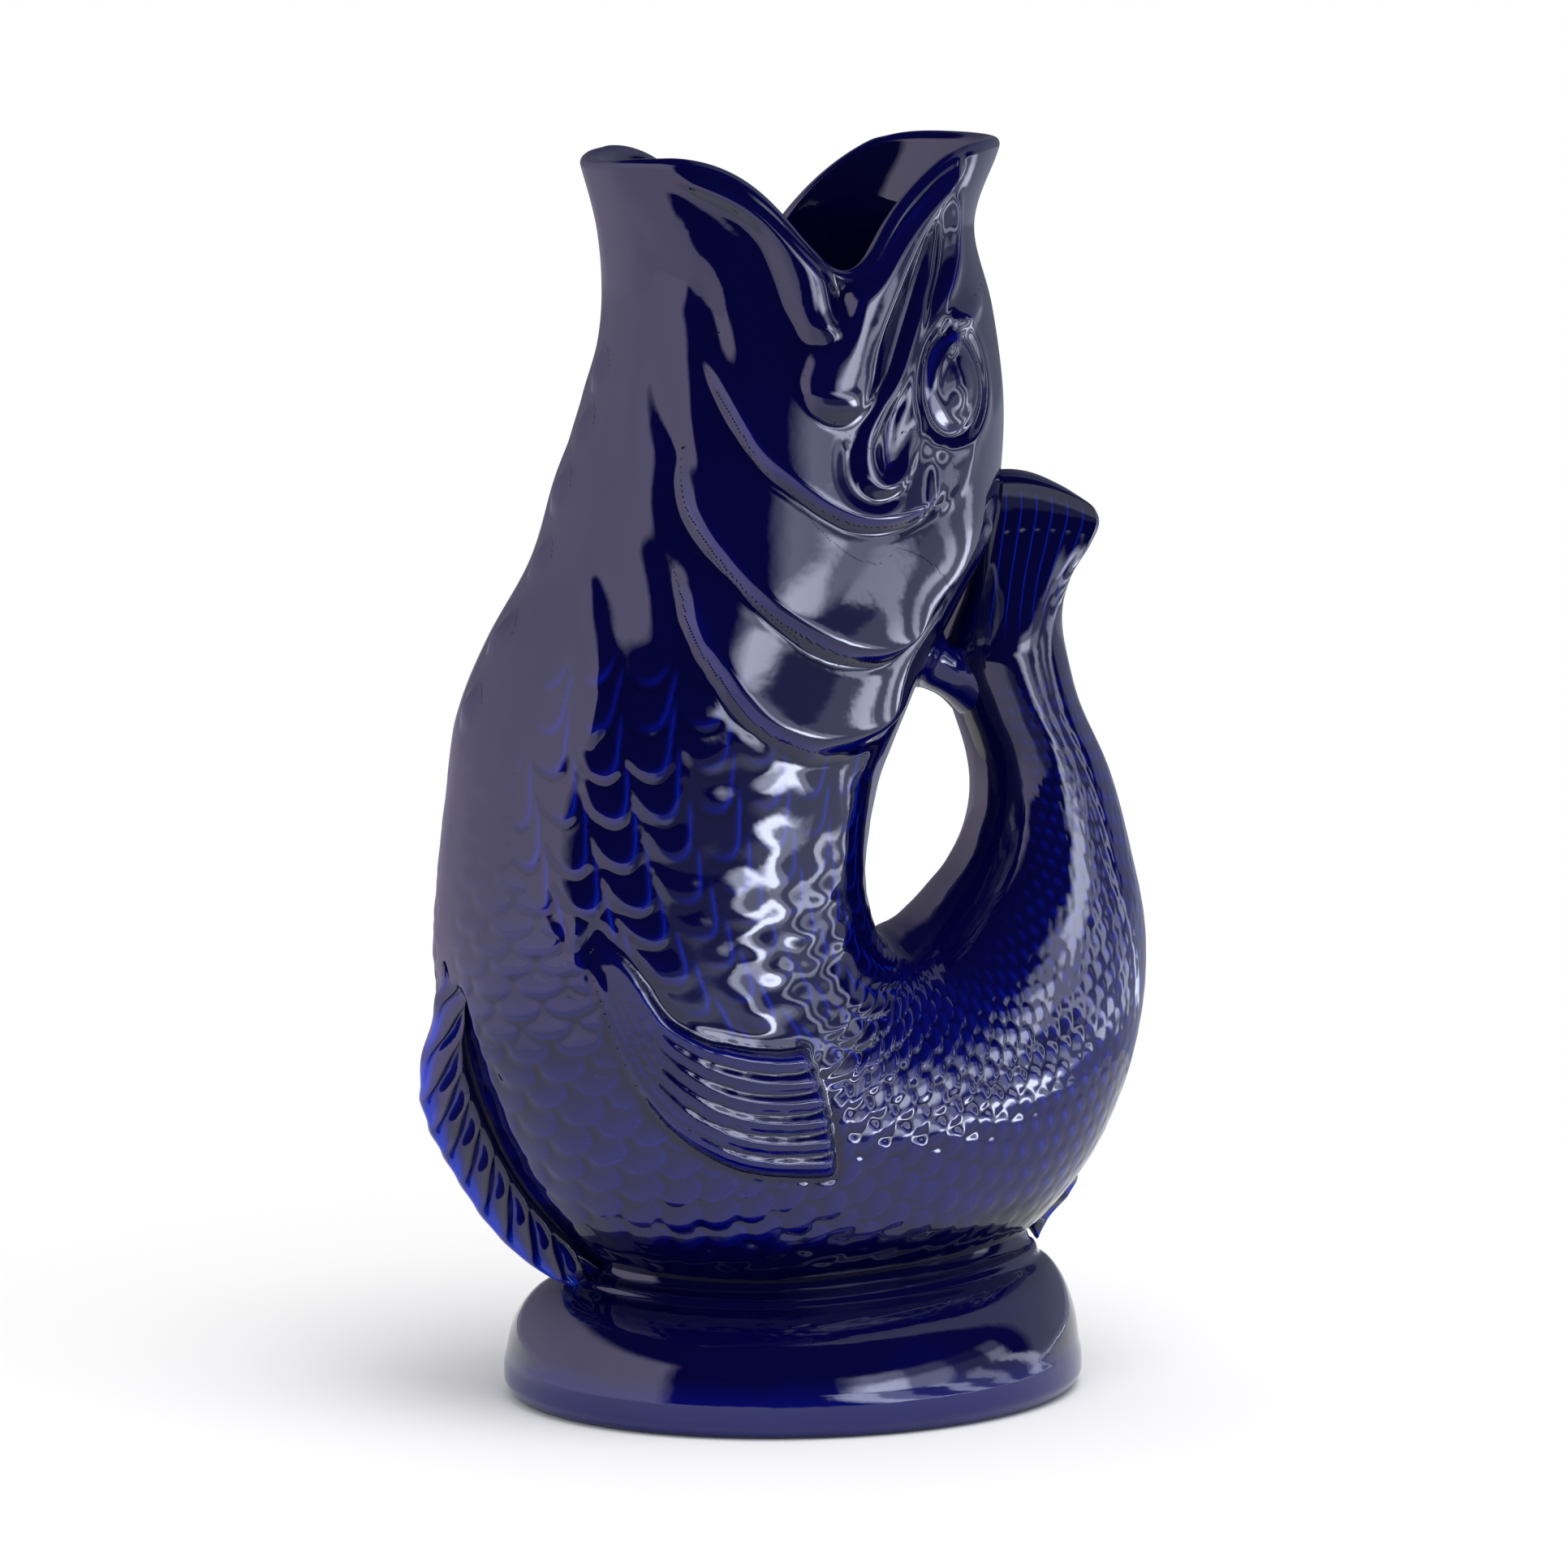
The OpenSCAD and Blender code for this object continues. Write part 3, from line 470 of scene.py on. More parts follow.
# The fold behind the eye, the eye and its brow. The eye's heights run from its middle out
ridge([[3.55, 47], [3.8, 50], [4.1, 53.5], [4.35, 59]], [1.2, 2.2, 2.2, 1.2], 0.9)
EYE_T, EYE_A, EYE_HALF_T, EYE_HALF_A = 2.8, 56.5, 12.6, 10.4
EYE_STOPS = [0, 0.15, 0.3, 0.4, 0.46, 0.56, 0.68, 0.8, 0.9, 1.0, 1.12, 1.3]
EYE_HEIGHTS = [2.1, 1.95, 1.5, 0.95, 0.75, 1.3, 0.3, -0.6, -0.3, 0.9, 0.6, 0]
EYE_EDGE, RING_AT, RING_W, RING_GLOW = 0.86, 0.72, 0.07, 0.3


def eye():
    """A raised oval ring round a domed ball, in place of what the grid had there."""
    along = np.linalg.norm(skin(EYE_T + STEP, EYE_A) - skin(EYE_T - STEP, EYE_A)) / (2 * STEP)
    around = np.linalg.norm(skin(EYE_T, EYE_A + STEP) - skin(EYE_T, EYE_A - STEP)) / (2 * STEP)
    q = np.hypot((T - EYE_T) * along / EYE_HALF_T, (B - EYE_A) * around / EYE_HALF_A)
    curve = trace(list(zip(EYE_STOPS, EYE_HEIGHTS)), 200)
    inside = q < EYE_STOPS[-1]
    outer = smooth(q, 1.0, EYE_STOPS[-1])
    D[inside] = (D * outer + np.interp(q, curve[:, 0], curve[:, 1]))[inside]
    glow[inside] = (glow * outer + RING_GLOW * bell(q, RING_AT, RING_W))[inside]
    mark((q < EYE_EDGE) & HEAD_SKIN, "eye")


eye()
ridge([[2.3, 57], [2.13, 53.5], [1.98, 45], [1.78, 30]],
      [1.6, 2.6, 2.4, 1.4], 1.9, lobe, "brow", ends=(0, 0.35))

# Scutes down the throat and bumps down the keel of the tail
SCUTE_PLACES, SCUTE_HALF_T, SCUTE_HALF_A, SCUTE_H = (2.65, 3.35, 4.1, 4.95, 5.85, 6.75), 0.36, 7.5, 1.5
for place in SCUTE_PLACES:
    q = np.hypot((T - place) / SCUTE_HALF_T, (B - 180) / SCUTE_HALF_A)
    D += SCUTE_H * bump(clamp(q))
    mark((q < 0.97) & HEAD_SKIN, "belly_scutes")
keel = bell(B, 180, 8) * smooth(T, 17.6, 18.4) * fall(T, 20.6, 21.4)
D += keel * (0.9 + 0.35 * np.sin(T * 2 * math.pi * 3.4))
mark((keel > 0.3) & (T > BODY_END + 0.1) & (T < 20.8), "tail_keel")

# Side fins: rays that start together on the flank and sweep back
RAYS, FIN_STRIPS, FIN_STEPS, FIN_REACH, FIN_CHUNK = 6, 73, 90, 4, 2000
FIN_BULGE_T, FIN_BULGE_A = 0.16, 4.5
FIN_TOP = trace([[9.45, 122], [9.95, 114], [10.33, 109.5], [10.75, 105.5], [11.12, 98.8], [11.38, 91.5],
                 [11.65, 83.8], [11.95, 74.8]], FIN_STEPS)
FIN_LOW = trace([[9.7, 125.5], [10.33, 121.5], [11.02, 119], [11.56, 116.8], [12.02, 113.5], [12.58, 108.2],
                 [13.13, 101.5], [13.62, 97.0]], FIN_STEPS)


def side_fins():
    """Lays the rays over the flank. v runs across the fin from its top ray, k along it to its tips."""
    strips = np.linspace(0, 1, FIN_STRIPS)
    grid = np.stack([FIN_TOP + (FIN_LOW - FIN_TOP) * v for v in strips], 0)
    bulge = 4 * strips[:, None] * (1 - strips[:, None]) * np.linspace(0, 1, FIN_STEPS)[None] ** 2
    grid[..., 0] += FIN_BULGE_T * bulge
    grid[..., 1] -= FIN_BULGE_A * bulge
    points = skin(grid[..., 0], grid[..., 1]).reshape(-1, 3)
    inside_box = (FOLDED > points.min(0) - FIN_REACH) & (FOLDED < points.max(0) + FIN_REACH)
    box = np.all(inside_box, -1) & (T > 8.5) & (T < 14.5)

    # the nearest point of the fin for each place in the box
    places = FOLDED[box]
    best = np.zeros(len(places), int)
    dist = np.zeros(len(places))
    for start in range(0, len(places), FIN_CHUNK):
        d = ((places[start:start + FIN_CHUNK, None, :] - points[None]) ** 2).sum(-1)
        best[start:start + FIN_CHUNK] = d.argmin(1)
        dist[start:start + FIN_CHUNK] = np.sqrt(d.min(1))
    v, k = (best // FIN_STEPS) / (FIN_STRIPS - 1), (best % FIN_STEPS) / (FIN_STEPS - 1)
    on_fin = dist < 0.5

    # round rays that deepen towards the tips, with a soft edge all round
    ray_x = v * RAYS - np.floor(v * RAYS)
    ray_h = np.sqrt(clamp(1 - (2 * ray_x - 1) ** 2))
    ray_share = 0.65 * smooth(k, 0.12, 0.45)
    height = (1.0 + 2.0 * smooth(k, 0.1, 0.7)) * (1 - ray_share + ray_share * ray_h)
    height *= smooth(k, 0, 0.15) * clamp((1 - k) / 0.03) ** 0.5
    height *= clamp(v / 0.05) ** 0.5 * (0.25 + 0.75 * clamp((1 - v) / 0.1) ** 0.5)
    clear = smooth(dist, 0.5, 2.5)
    D[box] = np.where(on_fin, height, D[box] * clear - 0.5 * bell(dist, 0, 1.2))
    ray_glow = 0.22 * bell(ray_x, 0.85, 0.16) * smooth(k, 0.05, 0.3)
    glow[box] = np.where(on_fin, ray_glow, glow[box] * clear)
    inside = np.zeros(T.shape, bool)
    inside[box] = on_fin & (k > 0.02) & (k < 0.99)
    mark(inside, "side_fin")


side_fins()

# The fold along the fin's root
ridge([[9.2, 128], [9.75, 127], [10.33, 122.5], [11.02, 120], [11.56, 117.5]],
      [1.5, 2.4, 3.0, 2.2, 1.2], 0.8)

# No piece but the casting itself reaches the rim of the mouth
RIM_FREE = 2.5
below_rim = (T - rim_start[None, :]) * FIRST_GAP
label[below_rim < RIM_FREE] = 0

# The neck above the foot is smooth
joint_u = np.hypot((T - JOINT_T) / JOINT_HALF_T, (180 - B) / JOINT_HALF_A)
D *= smooth(joint_u, 1.02, 1.12)
glow *= smooth(joint_u, 1.02, 1.12)

# The hollow beside the belly fin
ridge([[10.0, 171], [10.7, 168.5], [11.5, 167.5], [12.3, 168], [13.0, 170.5]], [2, 4, 4.5, 4, 2], -1.1)
D *= smooth(below_rim, -1.0, 3.0)

# Soften the relief as glaze does: a little everywhere, more on the head, the flank and under the eye
on_fin = blur((label == PIECES.index("side_fin")).astype(float), 1, 1)
flank_share *= 1 - on_fin
soft = np.maximum(fall(T, 6.6, 7.6), flank_share)
D = blur(D, 1, 1) * (1 - soft) + blur(D, 2, 2) * soft
D = D * (1 - flank_share) + blur(D, 3, 3) * flank_share
under_eye = bump(clamp(np.hypot((T - 3.92) / 0.62, (B - 54) / 17)))
D = D * (1 - under_eye) + blur(D, 7, 7) * under_eye
D *= fall(T, 23.2, 24)
glow *= fall(T, 23.2, 24)

# Glaze runs thin on high places and pools in low ones. The blue is also set lighter down the body than on
# the head, most on the belly side: painted light from the pale floor
painted_body_light = np.interp(T, [0, 7, 9, 11, 12.5, 17, 20, 24], [0.02, 0.06, 0.1, 0.14, 0.17, 0.19, 0.15, 0.1])
painted_back_light = np.interp(T, [6, 8, 20, 24], [0, 0.12, 0.12, 0.06])
painted_body_light = painted_body_light * smooth(B, 78, 112) + painted_back_light * fall(B, 78, 112)
# The glaze is set darker in a band just above the foot: painted shade
foot_shade = fall(joint_u, 1.22, 1.48)
thin = clamp((0.24 + painted_body_light + glow) * (1 - 0.62 * foot_shade) + 0.22 * (D - blur(D, 4, 4)))

# Tail fin: the same grid, carried on from the end of the tail as a fan with a rolled edge
FAN_OUT = [[55.7, 147.9], [55.3, 153.6], [57.0, 160.0], [60.6, 165.5], [62.6, 170.0], [60.6, 173.6]]
FAN_BACK = [[30.3, 143.7], [33.0, 150.0], [36.2, 157.5], [38.8, 166.0], [40.6, 174.0], [40.8, 180.5]]
FAN_RAYS, RAY_LEAN, RAY_DEPTH, FAN_BOW = 8.5, 0.16, 0.015, 2.6
LEAF_W, LEAF_GROWTH, LEAF_SWELL, LEAF_FROM = 2.6, 4.6, 0.9, 0.7
ROLL_H, ROLL_AT, ROLL_W = 0.6, 0.95, 0.08
TOP_FROM, TOP_SHARE, TOP_LEFT = 0.93, 0.07, 0.012


def fan():
    """Points and glaze of the fan. v runs up from the tail's end, x from its back to its outer edge."""
    v = np.linspace(0, 1, FAN_ROWS + 1)[1:, None]
    x = ((1 - np.cos(np.radians(angles))) / 2)[None, :]
    flank = np.sin(np.radians(angles))[None, :]
    out, back = trace(FAN_OUT, FAN_ROWS + 1)[1:], trace(FAN_BACK, FAN_ROWS + 1)[1:]
    middle = back[:, None, :] + (out - back)[:, None, :] * x[..., None]
    middle[..., 1] += FAN_BOW * (4 * x * (1 - x)) * v ** 3

    # half widths: the tail's own section opens into the leaf's
    root_w = ROWS[-2][4] * np.abs(flank)
    leaf_w = LEAF_W + LEAF_GROWTH * x + LEAF_SWELL * x ** 2
    leaf_w = leaf_w * clamp(np.abs(flank) / 0.55) ** 0.6
    v_open = clamp(v / LEAF_FROM)
    opening = 0.25 * v_open * (1 - v_open) ** 2 + smooth(v_open, 0, 1)
    width = root_w * (1 - opening) + leaf_w * opening

    # rays, the rolled edge and its round top
    rays = np.cos(2 * math.pi * (FAN_RAYS * (x + RAY_LEAN * v * (1 - x))))
    amount = smooth(v, 0.05, 0.3) * fall(v, 0.84, 0.93)
    amount = amount * smooth(x, 0.03, 0.12) * fall(x, 0.86, 0.95)
    width += RAY_DEPTH * amount * rays
    width += ROLL_H * bell(v, ROLL_AT, ROLL_W) * clamp(np.abs(flank) / 0.3)
    top = clamp((v - TOP_FROM) / TOP_SHARE)
    width *= np.sqrt(clamp(1 - top ** 2)) + TOP_LEFT

    points = np.stack([middle[..., 0], width * np.sign(flank), middle[..., 1]], -1)
    glaze_thin = 0.34 - 0.1 * smooth(v, 0, 0.3) + 0.5 * amount * clamp(rays) ** 8
    glaze_thin = glaze_thin + 0.45 * smooth(v, 0.1, 0.55) * bell(x, 1, 0.06)
    return points, glaze_thin


# The whole skin with its relief, smooth where the tail turns into the fan
SEAM_BELOW, SEAM_ABOVE, SEAM_PASSES = 16, 24, 70
fan_points, fan_thin = fan()
P = np.concatenate([P0 + N0 * D[..., None], fan_points], 0)
seam = slice(R_FAN - SEAM_BELOW, R_FAN + SEAM_ABOVE)
for _ in range(SEAM_PASSES):
    P[seam] = 0.5 * P[seam] + 0.25 * (P[seam.start - 1:seam.stop - 1] + P[seam.start + 1:seam.stop + 1])
thin = np.concatenate([thin, fan_thin], 0)
label = np.vstack([label, np.zeros(fan_thin.shape, int)])
N = unit(np.cross(np.gradient(P, axis=0), np.roll(P, -1, 1) - np.roll(P, 1, 1)))

# The casting is sunk to a bed under the relief pieces, which end just above it
BED, BED_GAP = 0.5, 0.1
N0_ALL = np.concatenate([N0, N[len(T):]], 0)
P_BED = np.concatenate([P0 - BED * N0, fan_points], 0)


# Glaze: dark cobalt where it pools, a brighter blue where it runs thin, with a faint orange peel
GLAZE_STOPS = [(0.0, (0.0006, 0.0006, 0.016, 1)), (0.45, (0.001, 0.001, 0.036, 1)),
               (0.72, (0.0014, 0.003, 0.13, 1)), (1.0, (0.002, 0.03, 0.5, 1))]
POOL_SCALE, POOL_DETAIL, POOL_SHARE = 60, 4, 0.18
PEEL_SCALE, PEEL_DETAIL, PEEL_STRENGTH, PEEL_DEPTH = 220, 2, 0.12, 0.0003


def material(name):
    """A new material, its nodes and links."""
    mat = bpy.data.materials.new(name)
    mat.use_nodes = True
    return mat, mat.node_tree.nodes, mat.node_tree.links


def add(nodes, kind, *values):
    """A shader node, with a value for each input that is named."""
    node = nodes.new("ShaderNode" + kind)
    for socket, value in values:
        node.inputs[socket].default_value = value
    return node


def noise(nodes, links, coord, scale, detail):
    """A noise texture in the piece's own space."""
    texture = add(nodes, "TexNoise", ("Scale", scale), ("Detail", detail))
    links.new(coord.outputs["Object"], texture.inputs["Vector"])
    return texture


def glaze(name):
    """The glaze. Its colour follows the mesh's thin values, which a soft noise makes uneven."""
    mat, nodes, links = material(name)
    shader = nodes["Principled BSDF"]
    attr = add(nodes, "Attribute")
    attr.attribute_name = "thin"
    coord = add(nodes, "TexCoord")
    pool = noise(nodes, links, coord, POOL_SCALE, POOL_DETAIL)
    shift = add(nodes, "Math", (1, POOL_SHARE))
    shift.operation = "MULTIPLY_ADD"
    links.new(pool.outputs["Fac"], shift.inputs[0])
    links.new(attr.outputs["Fac"], shift.inputs[2])
    ramp = add(nodes, "ValToRGB")
    stops = ramp.color_ramp.elements
    stops[0].position, stops[0].color = GLAZE_STOPS[0]
    stops[1].position, stops[1].color = GLAZE_STOPS[-1]
    for place, colour in GLAZE_STOPS[1:-1]:
        stop = stops.new(place)
        stop.color = colour
    links.new(shift.outputs[0], ramp.inputs["Fac"])
    links.new(ramp.outputs["Color"], shader.inputs["Base Color"])
    peel = noise(nodes, links, coord, PEEL_SCALE, PEEL_DETAIL)
    relief = add(nodes, "Bump", ("Strength", PEEL_STRENGTH), ("Distance", PEEL_DEPTH))
    links.new(peel.outputs["Fac"], relief.inputs["Height"])
    links.new(relief.outputs["Normal"], shader.inputs["Normal"])
    shader.inputs["Roughness"].default_value = 0.045
    shader.inputs["IOR"].default_value = 1.52
    return mat


GLAZE = glaze("glaze_cobalt")


def put(name, data):
    """A new object in the scene."""
    obj = bpy.data.objects.new(name, data)
    bpy.context.scene.collection.objects.link(obj)
    return obj


def make(name, points, faces, thin_values, normals, nodes):
    """A closed glazed piece on the root body. normals is one per face corner, or None."""
    mesh = bpy.data.meshes.new(name)
    mesh.from_pydata((np.asarray(points) * MM).tolist(), [], faces)
    mesh.polygons.foreach_set("use_smooth", [True] * len(mesh.polygons))
    layer = mesh.attributes.new("thin", "FLOAT", "POINT")
    layer.data.foreach_set("value", np.asarray(thin_values, np.float32))
    mesh.materials.append(GLAZE)
    piece = put(name, mesh)
    if normals is not None:
        mesh.normals_split_custom_set(normals.tolist())
    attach(piece, "root")
    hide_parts(*nodes)
    return piece


def cells(r, c, cols):
    """The four corners of the cells at rows r and columns c of a grid that is cols wide."""
    n = (c + 1) % cols
    return np.stack([r * cols + c, (r + 1) * cols + c, (r + 1) * cols + n, r * cols + n], -1)


def quads(rows, cols, first=0, wrap=True, flip=False):
    """Quad faces of a grid of points, rows by cols, numbered from first."""
    r, c = np.meshgrid(np.arange(rows - 1), np.arange(cols if wrap else cols - 1), indexing="ij")
    f = cells(r, c, cols).reshape(-1, 4)
    return (f[:, ::-1] if flip else f) + first


# Which faces of the grid belong to which piece: a face is in a piece when all its corners are
next_label = np.roll(label, -1, 1)
corner = np.stack([label[:-1], next_label[:-1], next_label[1:], label[1:]], -1)
face_label = np.where((corner == corner[..., :1]).all(-1), corner[..., 0], 0)
near_side = (angles[None, :] + 180 / COLS >= 180) & np.ones((len(face_label), 1), bool)

# The casting is sunk where all four faces round a place belong to pieces
in_piece = np.pad(face_label > 0, ((1, 1), (0, 0)))
above_and_below = in_piece[:-1] & in_piece[1:]
sunk = above_and_below & np.roll(above_and_below, 1, 1)
P_BASE = np.where(sunk[..., None], P_BED, P)


def patch(name, index, side):
    """Cuts a piece out of the grid: its top is the modelled skin, its underside lies over the bed."""
    use = face_label == index
    if side is not None:
        use &= near_side if side == "left" else ~near_side
    f = cells(*np.nonzero(use), COLS)
    used, inverse = np.unique(f, return_inverse=True)
    f = inverse.reshape(f.shape)
    inner = np.bincount(f.ravel(), minlength=len(used)) == 4
    low = np.arange(len(used))
    low[inner] = len(used) + np.arange(inner.sum())
    under = (P_BED.reshape(-1, 3) + BED_GAP * N0_ALL.reshape(-1, 3))[used][inner]
    points = np.vstack([P.reshape(-1, 3)[used], under])
    faces = np.vstack([f, low[f][:, ::-1]])
    values = thin.ravel()[used]
    normals = np.vstack([N.reshape(-1, 3)[used][f.ravel()], np.zeros((f.size, 3))])
    make(name, points, faces.tolist(), np.concatenate([values, values[inner]]), normals, [name])


# The round rim, and how thin the glaze lies on it and inside
RIM_STEPS, RIM_THIN, INSIDE_THIN = 12, 0.3, 0.12


def shell(name, first, last, inner_rows, rim=False):
    """A hollow casting between two rows of the grid. With rim, its walls meet in a half round."""
    outer, lit = P_BASE[first:last + 1], N[first:last + 1].reshape(-1, 3)
    t_in = T[np.linspace(first, last, inner_rows).astype(int)]
    inside = skin(t_in, np.broadcast_to(angles, t_in.shape), WALL)
    rows, values = [outer.reshape(-1, 3)], [thin[first:last + 1].ravel()]
    c = np.arange(COLS)
    n = (c + 1) % COLS
    rings, start = [c], len(outer) * COLS
    if rim:
        centre, up = (outer[0] + inside[0]) / 2, unit(P0[0] - P0[3])
        radius = np.linalg.norm(outer[0] - inside[0], axis=-1, keepdims=True) / 2
        for phi in np.linspace(0, math.pi, RIM_STEPS)[1:-1]:
            rows.append(centre + (outer[0] - centre) * math.cos(phi) + up * radius * math.sin(phi))
            values.append(np.full(COLS, RIM_THIN))
            rings.append(start + c)
            start += COLS
    rows.append(inside.reshape(-1, 3))
    values.append(np.full(inside[..., 0].size, INSIDE_THIN))
    rings.append(start + c)
    faces = [quads(len(outer), COLS)]
    for upper, lower in zip(rings[:-1], rings[1:]):
        faces.append(np.stack([upper, upper[n], lower[n], lower], -1))
    faces.append(quads(inner_rows, COLS, start, flip=True))
    out_low, in_low = (len(outer) - 1) * COLS, start + (inner_rows - 1) * COLS
    faces.append(np.stack([out_low + c, in_low + c, in_low + n, out_low + n], -1))
    all_faces = np.vstack(faces)
    normals = np.zeros((all_faces.size, 3))
    normals[:faces[0].size] = lit[faces[0].ravel()]
    make(name, np.vstack(rows), all_faces.tolist(), np.concatenate(values), normals, [name])


shell("head_shell", 0, R_BODY, 60, rim=True)
shell("body_shell", R_BODY, R_TAIL, 40)
shell("tail_handle", R_TAIL, R_FAN, 20)
for index, piece in enumerate(PIECES):
    if piece in ("belly_scutes", "tail_keel"):
        patch(piece, index, None)
    elif index:
        for side in ("left", "right"):
            patch(piece + "_" + side, index, side)


def tail_fin():
    """The fan rows, closed along the top edge and at the end of the tail."""
    rows = P[R_FAN:]
    sides = quads(len(rows), COLS)
    c = np.arange(COLS)
    base = np.stack([c, (c + 1) % COLS, np.full(COLS, len(rows) * COLS)], -1)
    last, half = (len(rows) - 1) * COLS, COLS // 2
    top = [[last + i, last + COLS - i, last + COLS - i - 1, last + i + 1] for i in range(1, half - 1)]
    top += [[last, last + COLS - 1, last + 1], [last + half - 1, last + half + 1, last + half]]
    faces = sides.tolist() + top + base.tolist()
    normals = np.zeros((sum(len(f) for f in faces), 3))
    normals[:sides.size] = N[R_FAN:].reshape(-1, 3)[sides.ravel()]
    points = np.vstack([rows.reshape(-1, 3), rows[0].mean(0)])
    values = np.append(thin[R_FAN:].ravel(), 0.5)
    make("tail_fin", points, faces, values, normals, ["tail_fin"])


tail_fin()


def sheet_fin(name, t_from, t_to, edge, root_w, edge_w, rays, lean, sink, sizes, crest, depth, toe):
    """A fin in the middle plane: k runs along it, v out to its edge, and its rays start at crest."""
    nk, nv = sizes
    k = np.linspace(0, 1, nk)[:, None]
    v = np.linspace(0, 1, nv)[None, :]
    rim = trace(edge, nk)[:, None, :]
    rim = rim * (1 + 0.003 * np.cos(2 * math.pi * rays * (k + lean)))[..., None]
    root = on_skin(t_from + (t_to - t_from) * k[:, 0], 180.0, -sink)[:, None, :][..., [0, 2]]
    q = root + (rim - root) * v[..., None]
    hollow = np.abs(np.sin(math.pi * (rays * (k + lean * v))))
    ribs = smooth(v, crest, crest + 0.2)
    wedge = np.interp(v, [0, crest - 0.1, crest, crest + 0.05, 0.95, 1], [0.7, 0.74, 0.98, 1, 0.06, 0])
    w = edge_w / 2 + (root_w - edge_w) / 2 * wedge * (1.1 - 0.45 * k)
    w = w + depth * (0.5 - hollow) * ribs * (1 - smooth(v, 0.82, 1.0) * 0.8)
    w = w + toe * bell(k, 0.94, 0.045) * smooth(v, 0.2, 0.6)
    w = w * np.sqrt(clamp(1 - clamp((v - 0.93) / 0.07) ** 2))
    ends = np.sqrt(clamp(np.minimum(k / 0.035, (1 - k) / 0.025)))
    w = np.maximum(w * ends, 0.0)
    near_face = np.stack([q[..., 0], -w, q[..., 1]], -1)
    far_face = np.stack([q[..., 0], w, q[..., 1]], -1)
    points = np.vstack([near_face.reshape(-1, 3), far_face.reshape(-1, 3)])
    faces = quads(nk, nv, 0, wrap=False, flip=True)
    back = quads(nk, nv, nk * nv, wrap=False)
    j = np.arange(nk - 1)
    base = np.stack([j * nv, (j + 1) * nv, nk * nv + (j + 1) * nv, nk * nv + j * nv], -1)
    value = 0.1 + 0.2 * smooth(v, crest - 0.1, crest) + 0.36 * hollow ** 2 * ribs
    value = clamp(value + 0.42 * smooth(v, 0.7, 1) * smooth(k, 0.04, 0.2))
    everything = np.vstack([faces, back, base]).tolist()
    weld(make(name, points, everything, np.tile(value.ravel(), 2), None, [name]))


def weld(piece, gap=0.01):
    """Joins points that lie on each other and points the faces outward."""
    bm = bmesh.new()
    bm.from_mesh(piece.data)
    bmesh.ops.remove_doubles(bm, verts=bm.verts, dist=gap * MM)
    bmesh.ops.dissolve_degenerate(bm, edges=bm.edges, dist=gap * MM)
    bmesh.ops.recalc_face_normals(bm, faces=bm.faces)
    bm.to_mesh(piece.data)
    bm.free()


BELLY_EDGE = [[-72.2, 89.1], [-74.0, 79.3], [-77.2, 66.4], [-75.9, 57.6], [-72.8, 51.2],
              [-68.8, 44.4], [-63.9, 37.1], [-57.6, 30.3], [-50.3, 24.9], [-43.2, 21.5]]
sheet_fin("belly_fin", 10.15, 12.85, BELLY_EDGE, root_w=16, edge_w=2.6, rays=11, lean=-0.19, sink=2.5,
          sizes=(240, 70), crest=0.32, depth=2.3, toe=1.8)
REAR_EDGE = [[58.8, 40.7], [59.9, 37.6], [58.3, 34.9], [55.3, 31.7], [52.8, 28.8], [51.8, 25.9]]
sheet_fin("rear_fin", 17.15, 16.4, REAR_EDGE, root_w=9, edge_w=3.2, rays=3, lean=0.2, sink=2.5,
          sizes=(60, 40), crest=0.25, depth=1.0, toe=0)


def tube(name, rings, values):
    """A closed piece from rings of points, with a face over each end."""
    rows, cols = len(rings), len(rings[0])
    faces = quads(rows, cols).tolist()
    faces.append(list(range(cols - 1, -1, -1)))
    faces.append([(rows - 1) * cols + i for i in range(cols)])
    weld(make(name, np.concatenate(rings), faces, values, None, [name]))


# Web between the back of the head and the tail
WEB_ROWS, WEB_COLS, WEB_HALF_W, WEB_FLARE, WEB_SINK, WEB_THIN = 28, 48, 7.2, 0.9, 1.2, 0.5
WEB_TAIL_T, WEB_TAIL_SPAN, WEB_HEAD_T, WEB_HEAD_SPAN = 23.1, 0.95, 7.05, 0.9


def handle_web():
    """A saddle with spread ends, which are sunk into the head and the tail."""
    u = np.linspace(0, 1, WEB_ROWS)[:, None]
    turn = np.linspace(0, 2 * math.pi, WEB_COLS, endpoint=False)[None, :]
    flare = 1 + WEB_FLARE * np.abs(2 * u - 1) ** 3
    half_w = WEB_HALF_W * flare * np.sin(turn)
    lift_share = 0.5 + 0.5 * np.cos(turn) * np.minimum(flare, 1.5)
    ends = []
    for t in (WEB_TAIL_T + WEB_TAIL_SPAN * lift_share, WEB_HEAD_T - WEB_HEAD_SPAN * lift_share):
        a = np.degrees(np.arcsin(np.clip(half_w / station(t)[..., 4], -1, 1)))
        ends.append(on_skin(t, a, -WEB_SINK))
    rings = ends[0] * (1 - u[..., None]) + ends[1] * u[..., None]
    tube("handle_web", rings, np.full(WEB_ROWS * WEB_COLS, WEB_THIN))


handle_web()

# Foot: flat base, rounded skirt, a soft ledge and a cove that runs up into the body
FOOT_COLS = 240
FOOT_SHARES = [[0, 0.945], [0.1, 0.975], [0.3, 0.997], [0.5, 1.0], [0.75, 0.998], [1, 0.99]]
SLOPE_SHARES = [[0, 0], [0.05, 0.21], [0.15, 0.4], [0.31, 0.58], [0.5, 0.7], [0.62, 0.74], [0.71, 0.76],
                [0.76, 0.785], [0.785, 0.83], [0.82, 0.87], [0.9, 0.89], [0.96, 0.93], [1.0, 1.03]]
SKIRT_STEPS, SLOPE_STEPS, SLOPE_PASSES = 26, 90, 24
JOINT_SPREAD_SHARE, JOINT_SINK, JOINT_IN_SINK = 1.03, 1.2, 1.0
foot_a = np.arange(FOOT_COLS) * 2 * math.pi / FOOT_COLS


